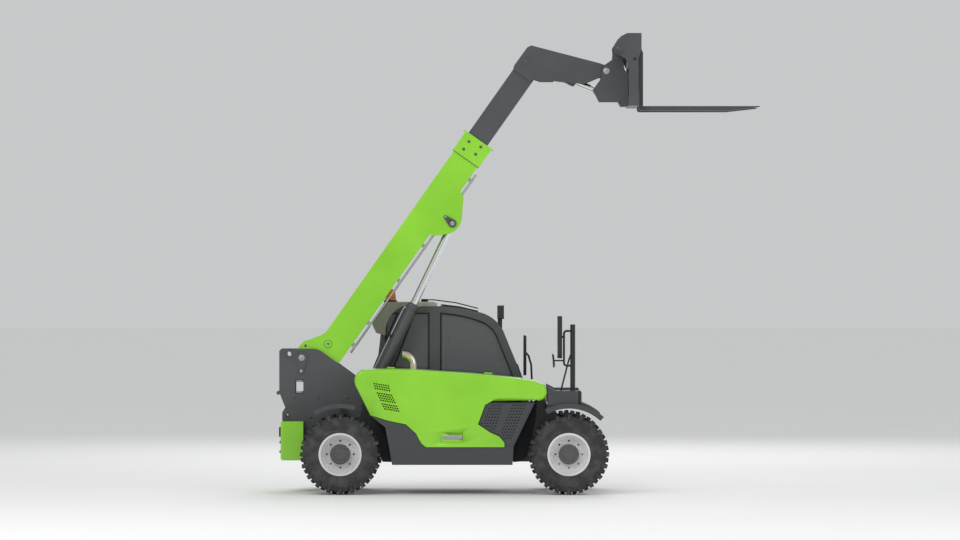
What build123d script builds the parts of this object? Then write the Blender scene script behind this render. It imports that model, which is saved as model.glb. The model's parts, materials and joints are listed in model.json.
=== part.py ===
"""Compact telescopic handler: rigid chassis, four-wheel steering, side cab and side engine pod.

Right-handed frame in millimetres. +X is forward, +Y is the driver's left, +Z is up. The origin is on
the ground, under the middle of the overall length and width. Side profiles are drawn on planes whose
local x is the distance ahead of the rear axle and whose local y is the height, and boom profiles on
planes whose local x runs along the boom from its foot pin and whose local y is square to it, upwards.
"""
import os
from math import cos, radians, sin, sqrt

from build123d import *

# ---- wheels and axles -------------------------------------------------------------------------
WHEELBASE = 2380.0
TRACK = 1505.0              # between the centre planes of the left and right tyres
TYRE_DIAMETER = 840.0
TYRE_WIDTH = 305.0
LUG_HEIGHT = 26.0
LUGS_PER_SIDE = 20
BEAD_DIAMETER = 416.0
RIM_WIDTH = 248.0
HUB_DIAMETER = 210.0
KINGPIN_INSET = 150.0       # from the tyre's centre plane to the kingpin's axis
AXLE_TUBE_R = 62.0

# ---- chassis and boom -------------------------------------------------------------------------
BOOM_Y = -60.0              # the boom's centre plane, between the engine pod and the cab
RAIL_GAP = 270.0            # inside width between the two chassis side plates
PLATE = 25.0                # thickness of the side plates and tower plates
BELLY_Z = 312.0             # lowest face of the body between the axles
RAIL_TOP = 640.0
TOWER_BASE = 750.0
TOWER_TOP = 1510.0
TOWER_REAR = -657.0
BOOM_FOOT_X, BOOM_FOOT_Z = -421.0, 1415.0
BOOM_REST_ANGLE = 54.8
BOOM_LENGTH = 2949.0        # foot pin to the tip of the outer section
BOOM_WIDTH = 230.0
BOOM_TOP, BOOM_BOTTOM = -52.0, -352.0
BOOM_WALL = 12.0
INNER_WIDTH = 190.0
INNER_TOP, INNER_BOTTOM = -68.0, -308.0
INNER_WALL = 10.0
INNER_START = 1250.0        # rear end of the inner section at rest
HEAD_START = 3763.0
FOOT_PIN_R = 35.0
PIN_CLEARANCE = 1.0
SIDE_GAP = 5.0              # running gap beside eyes and between moving panels

# ---- lift cylinder ----------------------------------------------------------------------------
LIFT_BASE_X, LIFT_BASE_Z = 121.0, 668.5
LIFT_EYE_S, LIFT_EYE_T = 2070.0, -480.0
LIFT_BARREL_R = 62.5
LIFT_BARREL_LENGTH = 1453.0
LIFT_ROD_R = 40.0
LIFT_ROD_LENGTH = 1190.0
LIFT_EYE_R = 45.0
LIFT_EYE_WIDTH = 90.0
LIFT_PIN_R = 25.0

# ---- boom head, tilt cylinder and fork carriage -----------------------------------------------
HITCH_S, HITCH_T = 4316.0, -880.0
TILT_BASE_S, TILT_BASE_T = 3907.0, -134.0
TILT_EYE_S, TILT_EYE_T = 4103.0, -952.0
TILT_BARREL_R = 52.0
TILT_BARREL_LENGTH = 560.0
TILT_ROD_R = 30.0
TILT_ROD_LENGTH = 500.0
TILT_EYE_R = 42.0
TILT_EYE_WIDTH = 80.0
TILT_PIN_R = 22.0
HITCH_PIN_R = 30.0
HEAD_PLATE = 20.0
FORK_LENGTH = 1225.0        # from the shank's front face to the tip
FORK_WIDTH = 120.0
FORK_THICKNESS = 45.0
FORK_SPACING = 620.0        # between the centre lines of the two blades
CARRIAGE_WIDTH = 1040.0
FORK_SHAFT_R = 30.0

# ---- engine pod and cab -----------------------------------------------------------------------
BODY_WIDTH = 1770.0         # over the pod's and the cab's outer faces
POD_INNER_Y = -240.0
HOOD_INNER_Y = -346.0
POD_SHEET = 12.0
HOOD_WALL = 15.0
HOOD_EDGE_R = 40.0
HOOD_HINGE_X, HOOD_HINGE_Z = 300.0, 1323.0      # a point on the hood's hinge line, above its top
HOOD_HINGE_SLOPE = 0.055                        # how far the hinge line falls for each unit forwards
EXHAUST_X = 753.0
EXHAUST_R = 40.0
CAB_INNER_Y = 120.0
CAB_WALL = 40.0
CAB_FLOOR_Z = 480.0
SEAM = 6.0
GLASS = 6.0

# ---- places worked out from the sizes above ---------------------------------------------------
WHEEL_Z = TYRE_DIAMETER / 2
POD_OUTER_Y = -BODY_WIDTH / 2
CAB_OUTER_Y = BODY_WIDTH / 2
TOWER_INNER = RAIL_GAP / 2
BOOM_COS, BOOM_SIN = cos(radians(BOOM_REST_ANGLE)), sin(radians(BOOM_REST_ANGLE))


def on_boom(s, t):
    """Side-view place, ahead of the rear axle and above the ground, of a point on the boom at rest."""
    return BOOM_FOOT_X + s * BOOM_COS - t * BOOM_SIN, BOOM_FOOT_Z + s * BOOM_SIN + t * BOOM_COS


HITCH_X, HITCH_Z = on_boom(HITCH_S, HITCH_T)
SHANK_FACE = 380.0          # from the hitch pin forward to the front face of the fork shanks
BLADE_DROP = 375.0          # from the hitch pin down to the top of the blades
FORK_TIP = HITCH_X + SHANK_FACE + FORK_LENGTH
TIE_BAR_R = 20.0
REAR_END = TOWER_REAR - TIE_BAR_R - 10.0
REAR_AXLE_X = -(FORK_TIP + REAR_END) / 2


def side(y):
    """Side-view plane at lateral place y; extruding a positive amount goes to the right, -Y."""
    return Plane(origin=(REAR_AXLE_X, y, 0), x_dir=(1, 0, 0), z_dir=(0, -1, 0))


def boom_side(y):
    """Plane along the boom at rest, at lateral place y; extruding a positive amount goes to -Y."""
    return Plane(origin=(REAR_AXLE_X + BOOM_FOOT_X, y, BOOM_FOOT_Z), x_dir=(BOOM_COS, 0, BOOM_SIN),
                 z_dir=(0, -1, 0))


def plan(z):
    """Horizontal plane at height z whose local x is the distance ahead of the rear axle."""
    return Plane(origin=(REAR_AXLE_X, 0, z))


def link_plane(start, end, y):
    """Plane at y with its origin at start and its local x along the line from start to end."""
    run, rise = end[0] - start[0], end[1] - start[1]
    return Plane(origin=(REAR_AXLE_X + start[0], y, start[1]), x_dir=(run, 0, rise), z_dir=(0, -1, 0))


def rod_plane(start, end, distance):
    """Plane across the line from start to end in the boom's centre plane, a distance along it."""
    run, rise = end[0] - start[0], end[1] - start[1]
    share = distance / sqrt(run * run + rise * rise)
    return Plane(origin=(REAR_AXLE_X + start[0] + run * share, BOOM_Y, start[1] + rise * share),
                 x_dir=(0, 1, 0), z_dir=(run, 0, rise))


os.makedirs("parts", exist_ok=True)


def save(part, name):
    """Label a finished piece and write it as its own STEP file."""
    part.label = name
    export_step(part, "parts/" + name + ".step")


# ---- tyre: a faceted carcass with bulging sidewalls and two rows of slanted lugs ---------------
TYRE_SIDES = 2 * LUGS_PER_SIDE
CARCASS_R = TYRE_DIAMETER / 2 - LUG_HEIGHT
HALF_TYRE = TYRE_WIDTH / 2
LUG_TIP_R = sqrt((TYRE_DIAMETER / 2) ** 2 - 24.0 ** 2)   # flat top whose corners reach the diameter
tyre_section = (            # distance across the tyre from its centre plane, radius
    (-HALF_TYRE + 12, BEAD_DIAMETER / 2 + 32),
    (-HALF_TYRE, BEAD_DIAMETER / 2 + 100),
    (-HALF_TYRE + 38, CARCASS_R),
    (HALF_TYRE - 38, CARCASS_R),
    (HALF_TYRE, BEAD_DIAMETER / 2 + 100),
    (HALF_TYRE - 12, BEAD_DIAMETER / 2 + 32),
)
with BuildPart() as tyre:
    for across, radius in tyre_section:
        with BuildSketch(Plane.XZ.offset(across)):
            RegularPolygon(radius, TYRE_SIDES, rotation=180 / TYRE_SIDES)
    loft(ruled=True)
    for lug in range(TYRE_SIDES):
        turn = radians(lug * 360 / TYRE_SIDES)
        radial = Vector(sin(turn), 0, cos(turn))
        row = 1 if lug % 2 else -1
        lug_plane = Plane(origin=radial * (CARCASS_R - 40), x_dir=(0, row, 0), z_dir=radial)
        with BuildSketch(lug_plane):
            with BuildLine():
                Polyline((6, -24), (HALF_TYRE - 42, -12), (HALF_TYRE - 2, -12), (HALF_TYRE - 2, 18),
                         (HALF_TYRE - 42, 24), (6, 8), close=True)
            make_face()
        extrude(amount=LUG_TIP_R - CARCASS_R + 40)
    with BuildSketch(Plane.XZ.offset(-HALF_TYRE)):
        RegularPolygon(BEAD_DIAMETER / 2, TYRE_SIDES, rotation=180 / TYRE_SIDES)
    extrude(amount=TYRE_WIDTH, mode=Mode.SUBTRACT)


# ---- rim: stepped barrel, pressed disc and hub, on the same flats as the tyre's bead -----------
BEAD_R = BEAD_DIAMETER / 2
HUB_FACE = 100.0            # from the wheel's centre plane to the hub's outer face
HUB_BACK = 10.0             # from the wheel's centre plane to the hub's inner face
rim_rings = (               # outer radius, inner radius, nearest and farthest distance outwards
    (BEAD_R, BEAD_R - 10, -RIM_WIDTH / 2, RIM_WIDTH / 2),
    (BEAD_R - 10, HUB_DIAMETER / 2 - 30, 24, 40),
    (BEAD_R - 10, BEAD_R - 44, 40, 62),
    (BEAD_R - 10, BEAD_R - 24, 62, 84),
)
with BuildPart() as rim:    # its outer side faces -Y
    for outer, inner, start, end in rim_rings:
        with BuildSketch(Plane.XZ.offset(start)):
            RegularPolygon(outer, TYRE_SIDES, rotation=180 / TYRE_SIDES)
            RegularPolygon(inner, TYRE_SIDES, rotation=180 / TYRE_SIDES, mode=Mode.SUBTRACT)
        extrude(amount=end - start)
    with BuildSketch(Plane.XZ.offset(HUB_BACK)):
        Circle(HUB_DIAMETER / 2)
    extrude(amount=HUB_FACE - HUB_BACK)
    chamfer(rim.edges().filter_by(GeomType.CIRCLE).sort_by(Axis.Y)[0], 8)

# ---- knuckle: kingpin barrel, spindle and steering arm -----------------------------------------
KINGPIN_BOSS_R = 44.0
KINGPIN_HEIGHT = 150.0
SPINDLE_R = 62.0
RUNNING_GAP = 1.0
ARM_REACH = 130.0
ARM_WIDTH = 36.0
ARM_LIFT = 45.0             # from the wheel's centre up to the underside of the arm
with BuildPart() as knuckle:      # kingpin on the Z axis, wheel towards -Y, steering arm towards -X
    with BuildSketch(Plane.XY.offset(-KINGPIN_HEIGHT / 2)):
        Circle(KINGPIN_BOSS_R)
    extrude(amount=KINGPIN_HEIGHT)
    with BuildSketch(Plane.XZ):
        Circle(SPINDLE_R)
    extrude(amount=KINGPIN_INSET + HUB_BACK - RUNNING_GAP)
    with BuildSketch(Plane.XY.offset(ARM_LIFT)):
        with Locations((-ARM_REACH / 2, 0)):
            SlotCenterToCenter(ARM_REACH, ARM_WIDTH)
    extrude(amount=25)

# ---- the four wheels and knuckles, turned about to face outwards on the left -------------------
corners = (                 # name, distance ahead of the rear axle, side, steering arm's direction
    ("front_right", WHEELBASE, -1, -1),
    ("front_left", WHEELBASE, 1, -1),
    ("rear_right", 0.0, -1, 1),
    ("rear_left", 0.0, 1, 1),
)
for corner, station, hand, arm in corners:
    centre = Location((REAR_AXLE_X + station, hand * TRACK / 2, WHEEL_Z), (0, 0, 90 + 90 * hand))
    save(centre * tyre.part, "tyre_" + corner)
    save(centre * rim.part, "rim_" + corner)
    kingpin = Location((REAR_AXLE_X + station, hand * (TRACK / 2 - KINGPIN_INSET), WHEEL_Z),
                       (0, 0, 90 + 90 * hand))
    flipped = knuckle.part if arm * hand > 0 else knuckle.part.mirror(Plane.YZ)
    save(kingpin * flipped, "knuckle_" + corner)

# ---- axles: tube, differential bulge and the forks that hold the kingpins ----------------------
KINGPIN_Y = TRACK / 2 - KINGPIN_INSET
FORK_EAR = 26.0
AXLE_PAD_TOP = 520.0
for name, station, arm in (("front_axle", WHEELBASE, -1), ("rear_axle", 0.0, 1)):
    with BuildPart() as axle:
        with BuildSketch(side(KINGPIN_Y - 62)):
            with Locations((station, WHEEL_Z)):
                Circle(AXLE_TUBE_R)
        extrude(amount=2 * KINGPIN_Y - 124)
        with BuildSketch(side(BOOM_Y)):
            with Locations((station, WHEEL_Z)):
                Circle(130)
        extrude(amount=95, both=True, taper=12)
        for ear in (-1, 1):
            ear_z = WHEEL_Z + ear * (KINGPIN_HEIGHT / 2 + RUNNING_GAP + FORK_EAR / 2)
            with BuildSketch(plan(ear_z - FORK_EAR / 2)):
                with Locations((station, 0)):
                    SlotCenterToCenter(2 * KINGPIN_Y, 84, rotation=90)
                    Rectangle(120, 2 * KINGPIN_Y - 130, mode=Mode.SUBTRACT)
            extrude(amount=FORK_EAR)
        for hand in (-1, 1):     # the fork's webs join both ears to the tube's end
            with BuildSketch(side(hand * (KINGPIN_Y - 75) + 12)):
                with Locations((station, WHEEL_Z)):
                    Rectangle(80, KINGPIN_HEIGHT + 2 * FORK_EAR + 2 * RUNNING_GAP)
            extrude(amount=24)
            with BuildSketch(side(hand * 150.0 + 35)):     # pad under each chassis rail
                with Locations((station, (WHEEL_Z + AXLE_PAD_TOP) / 2)):
                    Rectangle(150, AXLE_PAD_TOP - WHEEL_Z)
            extrude(amount=70)
        with BuildSketch(side(190.0)):       # steering cylinder along the axle
            with Locations((station + arm * (AXLE_TUBE_R + 48), WHEEL_Z)):
                Circle(32)
        extrude(amount=380)
    save(axle.part, name)

# ---- chassis: two side plates with cross members, belly plate, cylinder lugs and outriggers ----
RAIL_OUT = TOWER_INNER + PLATE
POD_FLOOR = BELLY_Z + POD_SHEET
OUTRIGGER_TOP = 384.0
OUTRIGGERS = (620, 1560)    # rear faces of the two pairs
rail_outline = (            # ahead of the rear axle, height
    (-398, TOWER_BASE), (200, TOWER_BASE), (420, RAIL_TOP), (2010, RAIL_TOP), (2045, 880),
    (2036, 1050), (2092, 1125), (2142, 1125), (2150, 870), (2250, 870), (2300, 600), (2560, 600),
    (2560, AXLE_PAD_TOP), (2140, AXLE_PAD_TOP), (2020, POD_FLOOR), (430, POD_FLOOR),
    (330, AXLE_PAD_TOP), (-398, AXLE_PAD_TOP),
)
with BuildPart() as chassis:
    for hand in (-1, 1):
        with BuildSketch(side(BOOM_Y + hand * (TOWER_INNER + PLATE / 2) + PLATE / 2)):
            with BuildLine():
                Polyline(*rail_outline, close=True)
            make_face()
        extrude(amount=PLATE)
    members = (             # cross members between the rails: from x, to x, from z, to z
        (-398, -373, AXLE_PAD_TOP, TOWER_BASE - 70),
        (95, 175, 545, 580),
        (430, 2020, POD_FLOOR, POD_FLOOR + 12),
        (900, 920, POD_FLOOR + 12, 560),
        (1700, 1720, POD_FLOOR + 12, 560),
        (2536, 2560, AXLE_PAD_TOP, 600),
    )
    for start, end, low, high in members:
        with BuildSketch(side(BOOM_Y + TOWER_INNER)):
            with Locations(((start + end) / 2, (low + high) / 2)):
                Rectangle(end - start, high - low)
        extrude(amount=RAIL_GAP)
    for hand in (-1, 1):    # lugs either side of the lift cylinder's base eye
        with BuildSketch(side(BOOM_Y + hand * (LIFT_EYE_WIDTH / 2 + SIDE_GAP + 10) + 10)):
            with BuildLine():
                Polyline((85, 570), (180, 570), (LIFT_BASE_X + 52, LIFT_BASE_Z),
                         (LIFT_BASE_X - 52, LIFT_BASE_Z), close=True)
            make_face()
            with Locations((LIFT_BASE_X, LIFT_BASE_Z)):
                Circle(52)
        extrude(amount=20)
    with BuildSketch(side(BOOM_Y + TOWER_INNER)):
        with Locations((LIFT_BASE_X, LIFT_BASE_Z)):
            Circle(LIFT_PIN_R)
    extrude(amount=RAIL_GAP)
    for start in OUTRIGGERS:         # outriggers under the pod on the right and the cab on the left
        with BuildSketch(side(BOOM_Y - RAIL_OUT)):
            with Locations((start + 30, (POD_FLOOR + OUTRIGGER_TOP) / 2)):
                Rectangle(60, OUTRIGGER_TOP - POD_FLOOR)
        extrude(amount=BOOM_Y - RAIL_OUT - POD_OUTER_Y - 60)
        with BuildSketch(side(CAB_OUTER_Y - POD_SHEET)):
            with Locations((start + 30, CAB_FLOOR_Z - 35)):
                Rectangle(60, 70)
        extrude(amount=CAB_OUTER_Y - POD_SHEET - BOOM_Y - RAIL_OUT)
save(chassis.part, "chassis_frame")

# ---- boom tower: two rear plates that hold the boom's foot pin ---------------------------------
with BuildPart() as tower:
    for hand in (-1, 1):
        with BuildSketch(side(BOOM_Y + hand * (TOWER_INNER + PLATE / 2) + PLATE / 2)):
            with BuildLine():
                Polyline((-626, TOWER_BASE), (-626, 842), (-594, 892), (TOWER_REAR, 1050),
                         (TOWER_REAR, TOWER_TOP - 22), (TOWER_REAR + 22, TOWER_TOP), (-308, TOWER_TOP))
                ThreePointArc((-308, TOWER_TOP), (-258, 1503), (-213, 1484))
                Polyline((-213, 1484), (135, 1230), (156, 1125), (304, 829), (200, TOWER_BASE),
                         (-626, TOWER_BASE))
            make_face()
            with Locations((-556, 1455)):
                Circle(25, mode=Mode.SUBTRACT)
            with Locations((-572, 808)):
                Circle(16, mode=Mode.SUBTRACT)
            with Locations((-446, 1114)):
                Rectangle(84, 148, mode=Mode.SUBTRACT)
        extrude(amount=PLATE)
    with BuildSketch(side(BOOM_Y + RAIL_OUT)):       # foot pin
        with Locations((BOOM_FOOT_X, BOOM_FOOT_Z)):
            Circle(FOOT_PIN_R)
    extrude(amount=2 * RAIL_OUT)
    for hand in (-1, 1):    # teardrop keeper of the foot pin on each outer face
        with BuildSketch(side(BOOM_Y + hand * (RAIL_OUT + 6) + 6)):
            with Locations((BOOM_FOOT_X, BOOM_FOOT_Z)):
                Circle(62)
            with BuildLine():
                Polyline((BOOM_FOOT_X - 60, BOOM_FOOT_Z - 15), (BOOM_FOOT_X - 20, BOOM_FOOT_Z - 170),
                         (BOOM_FOOT_X + 12, BOOM_FOOT_Z - 170), (BOOM_FOOT_X + 60, BOOM_FOOT_Z - 15),
                         close=True)
            make_face()
        extrude(amount=12)
    braces = ((TOWER_REAR + 17, TOWER_REAR + 42, 1060, 1380), (-626, -601, TOWER_BASE, 842))
    for start, end, low, high in braces:      # plates across the back, between the side plates
        with BuildSketch(side(BOOM_Y + TOWER_INNER)):
            with Locations(((start + end) / 2, (low + high) / 2)):
                Rectangle(end - start, high - low)
        extrude(amount=RAIL_GAP)
    with BuildSketch(side(BOOM_Y + RAIL_OUT - 5)):       # round tie bar across the rear edge
        with Locations((TOWER_REAR - 10, 1046)):
            Circle(TIE_BAR_R)
    extrude(amount=2 * RAIL_OUT - 10)
save(tower.part, "boom_tower")

# ---- counterweight hung behind the rear axle ---------------------------------------------------
with BuildPart() as counterweight:
    with BuildSketch(side(430)):
        with BuildLine():
            Polyline((-636, 343), (-398, 343), (-398, TOWER_BASE), (-636, TOWER_BASE), close=True)
        make_face()
    extrude(amount=860)
    fillet(counterweight.faces().sort_by(Axis.X)[0].edges(), 24)
save(counterweight.part, "counterweight")

# ---- engine pod: outlines shared by the hood, the inner wall and the tub beneath ----------------
hood_lower = (              # lower edge of the hood from its rear corner to its nose
    (315, 829), (505, 771), (684, 734), (790, 639), (843, 533), (895, 496), (1709, 496), (1709, 544),
    (1656, 607), (1561, 649), (1434, 734), (1508, 935), (1561, 966), (2068, 977),
)


with BuildLine() as hood_outline:       # closed side outline of the hood
    Polyline(*hood_lower)
    ThreePointArc((2068, 977), (2152, 1055), (2099, 1156))
    Polyline((2099, 1156), (2036, 1183), (1877, 1209))
    ThreePointArc((1877, 1209), (1455, 1253), (1033, 1283))
    ThreePointArc((1033, 1283), (640, 1305), (220, 1299))
    ThreePointArc((220, 1299), (160, 1240), (156, 1146))
    Line((156, 1146), (315, 829))


tub_outline = (             # dark lower body between the wheels, its top edge one seam off the hood
    (315, 829 - SEAM), (330, 815), (470, 702), (512, 491), (540, BELLY_Z), (1793, BELLY_Z),
    (1804, 502), (2025, 966 - SEAM), (1565, 966 - SEAM), (1514, 930), (1442, 736),
    (1565, 654), (1661, 613), (1709 + SEAM, 546), (1709 + SEAM, 496 - SEAM), (893, 496 - SEAM),
    (838, 529), (785, 636), (681, 728), (504, 765),
)
with BuildPart() as pod_tub:
    with BuildSketch(side(POD_INNER_Y - POD_SHEET)):
        with BuildLine():
            Polyline(*tub_outline, close=True)
        make_face()
    extrude(amount=POD_INNER_Y - POD_SHEET - POD_OUTER_Y)
    with BuildSketch(side(POD_INNER_Y - POD_SHEET)):      # the space inside, open at the top
        with BuildLine():
            Polyline((340, 835), (481, 710), (524, 495), (551, POD_FLOOR), (1781, POD_FLOOR),
                     (1792, 505), (2005, 967), (2005, 1100), (340, 1100), close=True)
        make_face()
    extrude(amount=POD_INNER_Y - 2 * POD_SHEET - POD_OUTER_Y, mode=Mode.SUBTRACT)
save(pod_tub.part, "pod_tub")

# ---- inner wall of the engine bay and the fixed strip on its top, beside the hood ---------------
with BuildPart() as bay_wall:
    with BuildSketch(side(POD_INNER_Y)):
        make_face(hood_outline.edges())
        with BuildLine():
            Polyline((340, 900), (512, 491), (551, BELLY_Z), (1781, BELLY_Z), (1792, 505), (1900, 1000),
                     close=True)
        make_face()
    extrude(amount=POD_SHEET)
    with BuildSketch(side(POD_INNER_Y)):
        make_face(hood_outline.edges())
    extrude(amount=POD_INNER_Y - HOOD_INNER_Y - SEAM)
    with BuildSketch(side(POD_INNER_Y - POD_SHEET)):
        make_face(hood_outline.edges())
        offset(amount=-HOOD_WALL, kind=Kind.INTERSECTION, mode=Mode.REPLACE)
    extrude(amount=POD_INNER_Y - HOOD_INNER_Y - SEAM, mode=Mode.SUBTRACT)
    with BuildSketch(side(POD_INNER_Y - POD_SHEET)):
        with Locations((1200, 720)):
            Rectangle(1720, 540)
    extrude(amount=POD_INNER_Y - HOOD_INNER_Y, mode=Mode.SUBTRACT)
    for start in OUTRIGGERS:         # the outriggers pass beneath
        with BuildSketch(side(POD_INNER_Y)):
            with Locations((start + 30, POD_FLOOR)):
                Rectangle(60, 2 * (OUTRIGGER_TOP - POD_FLOOR))
        extrude(amount=POD_SHEET, mode=Mode.SUBTRACT)
    with BuildSketch(plan(1200)):
        with Locations((EXHAUST_X, (POD_INNER_Y + HOOD_INNER_Y) / 2)):
            Circle(EXHAUST_R)
    extrude(amount=200, mode=Mode.SUBTRACT)
save(bay_wall.part, "bay_wall")

# ---- hood: gull-wing shell with a rounded outer edge --------------------------------------------
with BuildPart() as hood:
    with BuildSketch(side(HOOD_INNER_Y)):
        make_face(hood_outline.edges())
    extrude(amount=HOOD_INNER_Y - POD_OUTER_Y)
    outer_rim = hood.faces().sort_by(Axis.Y)[0].edges().filter_by_position(Axis.Z, 1000, 1320)
    fillet(outer_rim.filter_by(lambda edge: edge.center().Z > 1150), HOOD_EDGE_R)
    with BuildSketch(side(HOOD_INNER_Y)):
        make_face(hood_outline.edges())
        offset(amount=-HOOD_WALL, kind=Kind.INTERSECTION, mode=Mode.REPLACE)
    extrude(amount=HOOD_INNER_Y - POD_OUTER_Y - HOOD_WALL, mode=Mode.SUBTRACT)
    with BuildSketch(side(HOOD_INNER_Y)):
        with Locations((1200, 740)):
            Rectangle(1724, 500)
    extrude(amount=HOOD_INNER_Y - POD_OUTER_Y - HOOD_WALL, mode=Mode.SUBTRACT)
save(hood.part, "hood")

# ---- engine block, one plain mass on the pod's outriggers ----------------------------------------
with BuildPart() as engine:
    with BuildSketch(plan(OUTRIGGER_TOP)):
        with Locations((1110, -540)):
            Rectangle(1000, 400)
    extrude(amount=560)
save(engine.part, "engine_block")

# ---- exhaust: bent chrome pipe through the fixed strip, its mouth cut square --------------------
with BuildPart() as exhaust:
    with BuildLine(side((POD_INNER_Y + HOOD_INNER_Y) / 2)) as exhaust_path:
        Line((EXHAUST_X, 1270), (EXHAUST_X, 1340))
        ThreePointArc((EXHAUST_X, 1340), (EXHAUST_X - 33, 1420), (EXHAUST_X - 113, 1453))
    with BuildSketch(Plane(origin=exhaust_path.line @ 0, z_dir=exhaust_path.line % 0)):
        Circle(EXHAUST_R)
        Circle(EXHAUST_R - 4, mode=Mode.SUBTRACT)
    sweep(path=exhaust_path.line)
save(exhaust.part, "exhaust_pipe")

# ---- cab: side outline shared by its two side frames --------------------------------------------
ROOF_Z = 1955.0
with BuildLine() as cab_outline:
    Polyline((514, CAB_FLOOR_Z), (512, 491), (470, 720), (330, 960), (325, 1315), (378, 1441),
             (404, 1660), (431, ROOF_Z), (990, ROOF_Z))
    ThreePointArc((990, ROOF_Z), (1244, 1936), (1455, 1885))
    ThreePointArc((1455, 1885), (1622, 1795), (1719, 1653))
    Polyline((1719, 1653), (1888, 1230), (1985, 895), (1804, 502), (1803, CAB_FLOOR_Z),
             (514, CAB_FLOOR_Z))
with BuildLine() as side_window:        # forward of the B-pillar, top edge follows the roof
    Polyline((1033, 1060), (1033, 1888))
    ThreePointArc((1033, 1888), (1244, 1862), (1430, 1812))
    ThreePointArc((1430, 1812), (1570, 1735), (1650, 1610))
    Polyline((1650, 1610), (1809, 1215), (1853, 1060), (1033, 1060))
with BuildLine() as quarter_window:     # between the slanted rear pillar and the B-pillar
    Polyline((545, 1100), (545, 1330), (758, 1888), (921, 1888), (921, 1100), (545, 1100))
with BuildLine() as rear_light:         # small triangle behind the slanted pillar
    Polyline((450, 1560), (592, 1888), (470, 1888), (450, 1660), (450, 1560))
with BuildLine() as door_opening:
    Polyline((1060, 545), (1060, 1880))
    ThreePointArc((1060, 1880), (1244, 1858), (1425, 1808))
    ThreePointArc((1425, 1808), (1560, 1735), (1640, 1610))
    Polyline((1640, 1610), (1800, 1215), (1890, 900), (1765, 640), (1740, 545), (1060, 545))
CAB_INSIDE = CAB_OUTER_Y - CAB_INNER_Y - 2 * CAB_WALL
HINGE_X, HINGE_Y, HINGE_R = 1060.0, CAB_OUTER_Y + 10.0, 9.0
hinge_heights = (700, 1180, 1700)

with BuildPart() as cab_frame:
    with BuildSketch(side(CAB_INNER_Y + CAB_WALL)):      # side frame next to the boom
        make_face(cab_outline.edges())
        for window in (side_window, quarter_window, rear_light):
            make_face(window.edges(), mode=Mode.SUBTRACT)
    extrude(amount=CAB_WALL)
    with BuildSketch(side(CAB_OUTER_Y)):                 # side frame with the door opening
        make_face(cab_outline.edges())
        for window in (door_opening, quarter_window, rear_light):
            make_face(window.edges(), mode=Mode.SUBTRACT)
    extrude(amount=CAB_WALL)
    crossbars = (           # bars across the cab: from x, to x, from z, to z
        (431, 500, 1905, ROOF_Z),
        (921, 1033, 1905, ROOF_Z),
        (1880, 1965, 860, 905),
        (330, 375, 960, 1315),
        (560, 1800, CAB_FLOOR_Z, CAB_FLOOR_Z + 20),
    )
    for start, end, low, high in crossbars:
        with BuildSketch(side(CAB_OUTER_Y - CAB_WALL)):
            with Locations(((start + end) / 2, (low + high) / 2)):
                Rectangle(end - start, high - low)
        extrude(amount=CAB_INSIDE)
    with BuildSketch(side(CAB_OUTER_Y - CAB_WALL)):      # lower rear wall and lower front wall
        with BuildLine():
            Polyline((512, 500), (470, 720), (330, 960), (352, 960), (490, 724), (532, 500), close=True)
        make_face()
        with BuildLine():
            Polyline((1804, 500), (1985, 895), (1965, 895), (1784, 500), close=True)
        make_face()
    extrude(amount=CAB_INSIDE)
    for height in hinge_heights:                         # fixed halves of the door's hinges
        with BuildSketch(plan(height + 42)):
            with Locations((HINGE_X, HINGE_Y)):
                Circle(HINGE_R)
            with Locations((HINGE_X - 18, HINGE_Y - 5)):
                Rectangle(36, 10)
        extrude(amount=40)
save(cab_frame.part, "cab_frame")

# ---- cab roof shell with its rear cowl ----------------------------------------------------------
ROOF_THICKNESS = 46.0
with BuildPart() as cab_roof:
    with BuildSketch(side(CAB_OUTER_Y - 10)):
        with BuildLine():
            Polyline((990, ROOF_Z), (1000, ROOF_Z + 30), (960, ROOF_Z + ROOF_THICKNESS),
                     (445, ROOF_Z + ROOF_THICKNESS), (315, 1790), (352, 1674), (402, 1664),
                     (431, ROOF_Z), close=True)
        make_face()
    extrude(amount=CAB_OUTER_Y - CAB_INNER_Y - 20)
    fillet(cab_roof.edges().filter_by(Axis.X).group_by(Axis.Z)[-1], 18)
save(cab_roof.part, "cab_roof")

# ---- glass: one pane in each window, the windscreen carries on over the driver's head ----------
PANE_Y = (CAB_INNER_Y + CAB_WALL / 2, CAB_OUTER_Y - CAB_WALL / 2)
with BuildPart() as cab_glass:
    for pane_y, windows in ((PANE_Y[0], (side_window, quarter_window, rear_light)),
                            (PANE_Y[1], (quarter_window, rear_light))):
        with BuildSketch(side(pane_y + GLASS / 2)):
            for window in windows:
                make_face(window.edges())
        extrude(amount=GLASS)
    with BuildSketch(side(CAB_OUTER_Y - CAB_WALL)):
        with BuildLine():
            Line((1033, 1940), (1100, 1934))
            ThreePointArc((1100, 1934), (1280, 1908), (1450, 1864))
            ThreePointArc((1450, 1864), (1608, 1780), (1703, 1644))
            Polyline((1703, 1644), (1872, 1224), (1960, 905), (1954, 905), (1866, 1222), (1697, 1642))
            ThreePointArc((1697, 1642), (1603, 1776), (1448, 1858))
            ThreePointArc((1448, 1858), (1278, 1902), (1100, 1928))
            Polyline((1100, 1928), (1033, 1934), (1033, 1940))
        make_face()
    extrude(amount=CAB_INSIDE)
    with BuildSketch(side(CAB_OUTER_Y - CAB_WALL)):      # rear window between the bars
        with BuildLine():
            Polyline((345, 1315), (392, 1441), (418, 1660), (441, 1905), (447, 1905), (424, 1660),
                     (398, 1441), (351, 1315), close=True)
        make_face()
    extrude(amount=CAB_INSIDE)
save(cab_glass.part, "cab_glass")

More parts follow.
